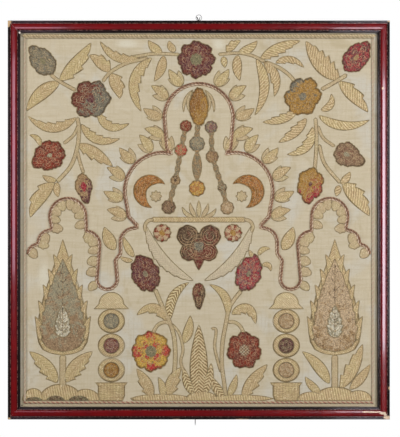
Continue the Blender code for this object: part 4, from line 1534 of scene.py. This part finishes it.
LEFT_PLANT_LEAVES = (
    Leaf(-180, -102, -208, -48, 20, 4),
    Leaf(-184, -112, -218, -102, 13, 4),
    Leaf(-88, -281, -172, -264, 27, -28, 3),
    Leaf(-44, -342, -24, -266, 27, -6),
    Leaf(-84, -490, -50, -410, 34, 6, -3),
    Leaf(-130, -494, -172, -414, 32, -4, 3),
    Leaf(-101, -494, -113, -438, 21, -6),
)
RIGHT_PLANT_LEAVES = (
    Leaf(166, -98, 198, -80, 14, 8),
    Leaf(176, -126, 200, -142, 14, 10),
    Leaf(150, -104, 140, -84, 11),
    Leaf(80, -266, 30, -180, 24, -20),
    Leaf(92, -262, 158, -288, 27, 30, -4),
    Leaf(122, -494, 190, -402, 34, 4, -4),
    Leaf(82, -490, 105, -430, 21, -3),
)
LEFT_PLANT_STEMS = (
    Stem(11, ((-122, -192), (-100, -244), (-82, -282), (-68, -330), (-66, -400), (-76, -460), (-92, -496))),
    Stem(9, ((-76, -292), (-92, -284), (-114, -292), (-130, -318))),
    Stem(7, ((-76, -288), (-54, -316), (-44, -360), (-50, -396), (-34, -440))),
)
RIGHT_PLANT_STEMS = (
    Stem(10, ((118, -196), (98, -222), (84, -246), (76, -284), (66, -340), (64, -400), (70, -450),
              (76, -496))),
    Stem(9, ((80, -284), (98, -284), (114, -294), (126, -316))),
    Stem(7, ((34, -302), (48, -306), (44, -350), (52, -390), (62, -424))),
)
BOLD_LEAVES = (
    Leaf(-80, -276, -28, -174, 27, 20),
    Leaf(70, -494, 34, -434, 26, 4),
)
CENTRE_LEAVES = (
    Leaf(0, -500, 0, -292, 50),
    Leaf(-14, -486, -42, -410, 24, 5),
    Leaf(14, -486, 34, -398, 24, -5),
)
# Mounds along the foot: middle, half width and height
Mound = namedtuple("Mound", "x half_width height")
PLANT_MOUNDS = (Mound(-104, 92, 18), Mound(8, 46, 26), Mound(112, 104, 16))
LEFT_MOUNDS = (Mound(-384, 60, 46), Mound(-460, 30, 34), Mound(-314, 40, 32))
RIGHT_MOUNDS = (Mound(380, 62, 38), Mound(312, 40, 24), Mound(444, 38, 28))
GREY_HILLS = (Mound(-458, 26, 11), Mound(-398, 28, 15), Mound(-334, 31, 15))
FOOT_Z = -502


def half_round(mound):
    """A mound's outline by angle: half an ellipse on a level foot, seen from a point above the foot."""
    lift = 0.35 * mound.height

    def shape(angle):
        c, s = np.cos(angle), np.sin(angle)
        a, b = mound.half_width, mound.height
        k = (c / a) ** 2 + (s / b) ** 2
        m = s * lift / b**2
        upper = (-m + np.sqrt(m**2 - k * ((lift / b) ** 2 - 1))) / k
        lower = np.where(s < -1e-6, lift / np.maximum(-s, 1e-6), 1e9)
        reach = np.minimum(upper, lower)
        return reach * c, reach * s

    return shape, lift


def sew_mounds(sewn, mounds, material, foot=FOOT_Z, rise=1.4):
    for mound in mounds:
        shape, lift = half_round(mound)
        sewn.pad((mound.x, foot + lift), shape, material, rise=rise, rings=9, around=80, roughness=0.2,
                 outline=True)


class EMBROIDERY_OT_plants(bpy.types.Operator):
    """The flowering plants under the niche, with the mounds that they grow from"""
    bl_idname = "embroidery.plants"
    bl_label = "Plants"

    def execute(self, context):
        rows = (
            ("plant_left", LEFT_PLANT_STEMS, LEFT_PLANT_LEAVES, herringbone()),
            ("plant_right", RIGHT_PLANT_STEMS, RIGHT_PLANT_LEAVES, herringbone()),
            ("plant_centre", (), BOLD_LEAVES + CENTRE_LEAVES, zigzag()),
        )
        for name, stems, leaves, leaf_thread in rows:
            sewn = Sewn(name)
            sew_stems(sewn, stems, pale_gold())
            sew_leaves(sewn, leaves, leaf_thread)
            sewn.finish("gold_thread")
        ground = Sewn("plant_mounds")
        sew_mounds(ground, PLANT_MOUNDS, hatched())
        ground.finish("gold_thread")
        return {"FINISHED"}


# Columns: sizes as in the solids, and the threads of the roundels from the top down
COLUMN_X = 243
CAPITAL_Z, CAPITAL_HALF_WIDTH, CAPITAL_HEIGHT = -247, 48, 46
ROUNDEL_HALF_WIDTH, ROUNDEL_HALF_HEIGHT, ROUNDEL_INNER = 37, 33, 22
ROUNDEL_Z = (-281, -349, -417)
URN_Z, URN_TOP, URN_BOTTOM, URN_HEIGHT = -503, 37, 31, 51
ROUNDEL_THREADS = {"left": (("slate", "mist"), ("wine", "mauve"), ("amber", "ochre")),
                   "right": (("tan", "sand"), ("umber", "plum"), ("tan", "sand"))}


def seen_from(points, middle):
    """An outline's reach by angle, as seen from a point inside it."""
    corners = np.array(points, dtype=float) - middle
    fine = evenly(np.vstack((corners, corners[:1])), 1.0)
    bearing = np.arctan2(fine[:, 1], fine[:, 0]) % (2 * math.pi)
    order = np.argsort(bearing)

    def shape(angle):
        reach = np.interp(angle, bearing[order], np.hypot(*fine.T)[order], period=2 * math.pi)
        return reach * np.cos(angle), reach * np.sin(angle)

    return shape


def capital_outline(steps=24):
    waist = 0.72 * CAPITAL_HALF_WIDTH
    angles = [math.pi * i / steps for i in range(steps + 1)]
    dome = [(waist * math.cos(a), CAPITAL_HEIGHT * (0.3 + 0.7 * math.sin(a))) for a in angles]
    return [(-CAPITAL_HALF_WIDTH, 0), (CAPITAL_HALF_WIDTH, 0)] + dome


def urn_outline():
    lip = 1.25 * URN_TOP
    half = [(URN_BOTTOM, 0), (URN_TOP, 0.3 * URN_HEIGHT), (URN_TOP, 0.85 * URN_HEIGHT), (lip, URN_HEIGHT)]
    return half + [(-u, v) for u, v in reversed(half)]


class EMBROIDERY_OT_columns(bpy.types.Operator):
    """Two columns of an urn, three roundels and a domed capital"""
    bl_idname = "embroidery.columns"
    bl_label = "Columns"

    def execute(self, context):
        for side, sign in (("left", -1), ("right", 1)):
            x = sign * COLUMN_X
            capital = Sewn("sewn_capital_" + side)
            middle = (0, 0.4 * CAPITAL_HEIGHT)
            capital.pad((x, CAPITAL_Z + middle[1]), seen_from(capital_outline(), middle), bright_gold(),
                        rise=1.8, rings=14, around=120, roughness=0.2, outline=True)
            capital.finish("gold_thread", "capital_" + side)
            urn = Sewn("sewn_urn_" + side)
            middle = (0, 0.5 * URN_HEIGHT)
            urn.pad((x, URN_Z + middle[1]), seen_from(urn_outline(), middle), basket(), rise=1.8, rings=14,
                    around=120, roughness=0.15, outline=True)
            urn.finish("gold_thread", "urn_" + side)
            for number, (height, threads) in enumerate(zip(ROUNDEL_Z, ROUNDEL_THREADS[side]), start=1):
                thread = silk(f"roundel_silk_{side}_{number}", *threads, threads[0], 0.8)
                roundel = Sewn(f"sewn_roundel_{side}_{number}")
                middle, disc = (x, height), round_shape(ROUNDEL_INNER)
                ring = round_shape(ROUNDEL_HALF_WIDTH, ROUNDEL_HALF_HEIGHT / ROUNDEL_HALF_WIDTH)
                roundel.pad(middle, ring, herringbone(), rise=1.3, rings=10, around=80, roughness=0.15,
                            outline=True)
                roundel.pad(middle, disc, thread, rise=1.2, base=1.3, rings=9, around=72, outline=True)
                roundel.petal_threads(middle, disc, 6, made(vein_thread, "vein_mist", "mist"), 2.5, 2)
                roundel.finish("gold_thread", f"roundel_{side}_{number}")
        return {"FINISHED"}


# Cypresses: sizes as in the solids, then half widths by height for the rim and the body, and the
# flames of the rim by the height of their tips and how far out these are
CYPRESS_X, CYPRESS_Z, CYPRESS_HEIGHT = 378, -376, 322
RIM_PROFILE = ((-376, 0), (-371, 34), (-360, 56), (-340, 68), (-311, 73), (-263, 66), (-208, 52),
               (-153, 34), (-100, 15), (-54, 0))
BODY_PROFILE = ((-366, 0), (-361, 30), (-350, 48), (-332, 58), (-305, 62), (-263, 55), (-208, 42),
                (-153, 21), (-108, 0))
RIM_FLAMES = ((-268, 77), (-224, 68), (-180, 55), (-136, 41), (-96, 26))
CYPRESS_THREADS = {"left": ("mist", "hazel"), "right": ("sand", "tan")}
CYPRESS_PATCHES = {"left": (12, 0.8), "right": (7, 1.4)}
CYPRESS_TONES = {"left": 0.3, "right": 0.12}
LEFT_CYPRESS_LEAVES = (
    Leaf(-394, -452, -470, -366, 38, -6, 4),
    Leaf(-370, -450, -296, -366, 40, 6, -5),
)
RIGHT_CYPRESS_LEAVES = (
    Leaf(362, -454, 288, -366, 32, -8),
    Leaf(392, -468, 455, -346, 35, -6, 4),
    Leaf(420, -470, 476, -402, 26, -4),
    Leaf(338, -480, 296, -436, 22, 4),
)


class EMBROIDERY_OT_cypresses(bpy.types.Operator):
    """Two cypresses with flaming edges, a pale one inside each, and their mounds"""
    bl_idname = "embroidery.cypresses"
    bl_label = "Cypresses"

    def branches(self, tree, x, low, high, reach, height):
        """A dark thread up the middle with pairs of curved branches."""
        dark = made(vein_thread, "vein_thread_dark", "thread_dark")
        tree.lay(np.full(8, x), np.linspace(low, high, 8), dark, height, 0.8)
        for share in (0.15, 0.35, 0.55, 0.75):
            base = low + share * (high - low)
            for sign in (-1, 1):
                tip = (x + sign * reach * (1.1 - share), base + 0.16 * (high - low))
                line = bowed((x, base), tip, sign * -3, 8)
                tree.lay(line[:, 0], line[:, 1], dark, height, 0.7)

    def along(self, tree, x, profile, material, **settings):
        """An upright shape whose half widths are given by height."""
        heights, widths = np.array(profile, dtype=float).T
        spine = bowed((x, heights[0]), (x, heights[-1]), 0, 80)
        tree.strip(spine, 99, material, profile=np.interp(spine[:, 1], heights, widths), **settings)

    def execute(self, context):
        rows = (
            ("left", -1, LEFT_CYPRESS_LEAVES, LEFT_MOUNDS),
            ("right", 1, RIGHT_CYPRESS_LEAVES, RIGHT_MOUNDS),
        )
        for side, sign, leaves, mounds in rows:
            x = sign * CYPRESS_X
            first, second = CYPRESS_THREADS[side]
            thread = silk("looped_cypress_" + side, first, second, "slate", 1.1, *CYPRESS_PATCHES[side])
            pale = silk("looped_ivory_" + side, "ivory", "mist", "ivory", 1.2)
            tree = Sewn("sewn_cypress_" + side)
            foot, top = CYPRESS_Z, CYPRESS_Z + CYPRESS_HEIGHT
            self.along(tree, x, RIM_PROFILE, herringbone(), rise=1.2, across=32)
            for tip, reach in RIM_FLAMES:
                for flank in (-1, 1):
                    start = (x + flank * (reach - 15), tip - 66)
                    tree.strip(bowed(start, (x + flank * reach, tip), flank * 5), 19, herringbone(), rise=1.1,
                               base=0.3, belly=0.7)
            self.along(tree, x, BODY_PROFILE, thread, rise=1.4, base=1.2, teeth=7, depth=0.1, across=48,
                       tone=CYPRESS_TONES[side], fade=0.5, dusk=0.9)
            inner = bowed((x, foot + 50), (x, foot + 138), 0)
            tree.strip(inner, 42, pale, rise=1.0, base=2.4, belly=0.6, fullness=0.7, teeth=5, depth=0.3,
                       across=24)
            self.branches(tree, x, foot + 56, foot + 134, 15, 3.4)
            self.branches(tree, x, foot + 142, top - 70, 18, 2.6)
            tree.finish("silk_cypress", "cypress_" + side)
            ground = Sewn("cypress_ground_" + side)
            trunk = bowed((x, FOOT_Z + 30), (x, foot + 2), 0)
            ground.strip(trunk, 17, pale_gold(), belly=0, rise=1.4, across=12)
            sew_leaves(ground, leaves, herringbone())
            sew_mounds(ground, mounds, hatched())
            if side == "left":
                olive = silk("looped_hills", "sage", "umber", "sage")
                sew_mounds(ground, GREY_HILLS, olive, rise=2.0)
            ground.finish("gold_thread")
        return {"FINISHED"}


# Stage


def softbox(name, place, aim, width, height, power, lights=True, shines=True):
    """A soft light, which may light the cloth only, or only shine in the lacquer."""
    deselect()
    bpy.ops.object.light_add(type="AREA", location=place)
    lamp = bpy.context.object
    lamp.name = name
    lamp.data.shape = "RECTANGLE"
    lamp.data.size, lamp.data.size_y = width, height
    lamp.data.energy = power
    lamp.rotation_euler = (aim - Vector(place)).to_track_quat("-Z", "Y").to_euler()
    lamp.visible_diffuse = lights
    lamp.visible_glossy = shines
    return lamp


class EMBROIDERY_OT_stage(bpy.types.Operator):
    """Pale floor, white surroundings, soft lights and the camera"""
    bl_idname = "embroidery.stage"
    bl_label = "Stage"
    camera_distance = 3.6
    floor_drop = 1.5
    floor_size = 9
    floor_glow = 0.5
    dim = 0.06
    sheen_spread = math.radians(46)
    sensor = 36

    def execute(self, context):
        deselect()
        middle = Vector((0, FACE_Y, CLOTH_MIDDLE.z))
        place = (0, 0, FRAME_LOW.z - self.floor_drop)
        bpy.ops.mesh.primitive_plane_add(size=self.floor_size, location=place)
        floor = bpy.context.object
        floor.name = "pale_floor"
        recipe = Recipe("pale_floor", 0.9)
        pale, paler = tint(236, 235, 232), tint(242, 241, 239)
        recipe.shader.inputs["Emission Color"].default_value = (*pale, 1)
        recipe.shader.inputs["Emission Strength"].default_value = self.floor_glow
        floor.data.materials.append(recipe.finish(recipe.mix(recipe.noise(0.4), pale, paler)))
        floor.visible_glossy = False
        floor.visible_diffuse = False
        softbox("softbox_left", (-2.0, -1.5, middle.z + 0.2), middle, 0.5, 1.5, 27, shines=False)
        softbox("softbox_right", (1.75, -2.2, middle.z), middle, 0.9, 1.2, 45.5, shines=False)
        softbox("softbox_front", (0, -3.2, middle.z + 2.1), middle, 1.4, 1.0, 54, shines=False)
        softbox("softbox_back", (0.6, 2.8, middle.z + 1.0), middle, 1.6, 1.2, 70, shines=False)
        self.sheen("sheen_right", 1.525, middle.z + 0.02, 1.55, 1.5, 7, (1.0, 0.88, 1.0))
        self.sheen("sheen_left", -1.42, middle.z + 0.3, 1.35, 1.2, 2.1, (1.0, 0.66, 0.84))
        self.surroundings(context.scene)
        self.camera(context.scene, middle)
        context.scene.view_settings.view_transform = "Standard"
        return {"FINISHED"}

    def sheen(self, name, x, z, width, height, power, colour):
        """A narrow light that only shines in the lacquer of the rail straight before it."""
        place = (x, -self.camera_distance, z)
        lamp = softbox(name, place, Vector((x, 0, z)), width, height, power, lights=False)
        lamp.data.spread = self.sheen_spread
        lamp.data.color = colour

    def surroundings(self, scene):
        """White where the camera looks past the object, and a dimmer light elsewhere."""
        world = bpy.data.worlds.new("studio")
        scene.world = world
        world.use_nodes = True
        nodes, links = world.node_tree.nodes, world.node_tree.links
        background = nodes["Background"]
        background.inputs["Color"].default_value = (1, 1, 1, 1)
        look = nodes.new("ShaderNodeLightPath")
        level = nodes.new("ShaderNodeMapRange")
        level.inputs["To Min"].default_value = self.dim
        level.inputs["To Max"].default_value = 1.0
        links.new(look.outputs["Is Camera Ray"], level.inputs["Value"])
        links.new(level.outputs[0], background.inputs["Strength"])

    def camera(self, scene, middle):
        metres_per_pixel = FRAME_HEIGHT / PHOTO_FRAME_TALL
        data = bpy.data.cameras.new("camera")
        data.sensor_width = self.sensor
        front = FRAME_LOW.y
        data.lens = self.sensor * self.camera_distance / (PHOTO_HEIGHT * metres_per_pixel)
        data.dof.use_dof = False
        camera = bpy.data.objects.new("camera", data)
        scene.collection.objects.link(camera)
        right = (PHOTO_WIDTH / 2 - PHOTO_FRAME_MIDDLE[0]) * metres_per_pixel
        up = (PHOTO_FRAME_MIDDLE[1] - PHOTO_HEIGHT / 2) * metres_per_pixel
        camera.location = (right, front - self.camera_distance, middle.z + up)
        camera.rotation_euler = (math.radians(90), 0, 0)
        scene.camera = camera


OPERATORS = (
    EMBROIDERY_OT_frame,
    EMBROIDERY_OT_wire_rings,
    EMBROIDERY_OT_cloth,
    EMBROIDERY_OT_border_cords,
    EMBROIDERY_OT_niche_cord,
    EMBROIDERY_OT_blossoms,
    EMBROIDERY_OT_scrolls,
    EMBROIDERY_OT_arch_leaves,
    EMBROIDERY_OT_chains,
    EMBROIDERY_OT_crescents,
    EMBROIDERY_OT_bowl,
    EMBROIDERY_OT_plants,
    EMBROIDERY_OT_columns,
    EMBROIDERY_OT_cypresses,
    EMBROIDERY_OT_stage,
)


class EMBROIDERY_PT_panel(bpy.types.Panel):
    """Lists the steps that sew and frame the panel"""
    bl_label = "Embroidery"
    bl_idname = "EMBROIDERY_PT_panel"
    bl_space_type = "VIEW_3D"
    bl_region_type = "UI"
    bl_category = "Embroidery"

    def draw(self, context):
        for step in OPERATORS:
            self.layout.operator(step.bl_idname)
        for group in (context.scene.sewing_sizes, context.scene.sewing_colours):
            for key in group.bl_rna.properties.keys():
                if key not in ("rna_type", "name"):
                    self.layout.prop(group, key)


CLASSES = (SewingSizes, SewingColours, *OPERATORS, EMBROIDERY_PT_panel)


def register():
    for kind in CLASSES:
        bpy.utils.register_class(kind)
    bpy.types.Scene.sewing_sizes = PointerProperty(type=SewingSizes)
    bpy.types.Scene.sewing_colours = PointerProperty(type=SewingColours)


def unregister():
    del bpy.types.Scene.sewing_colours
    del bpy.types.Scene.sewing_sizes
    for kind in reversed(CLASSES):
        bpy.utils.unregister_class(kind)


def main():
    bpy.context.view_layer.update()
    register()
    for step in OPERATORS:
        group, action = step.bl_idname.split(".")
        getattr(getattr(bpy.ops, group), action)()


if __name__ == "__main__":
    main()
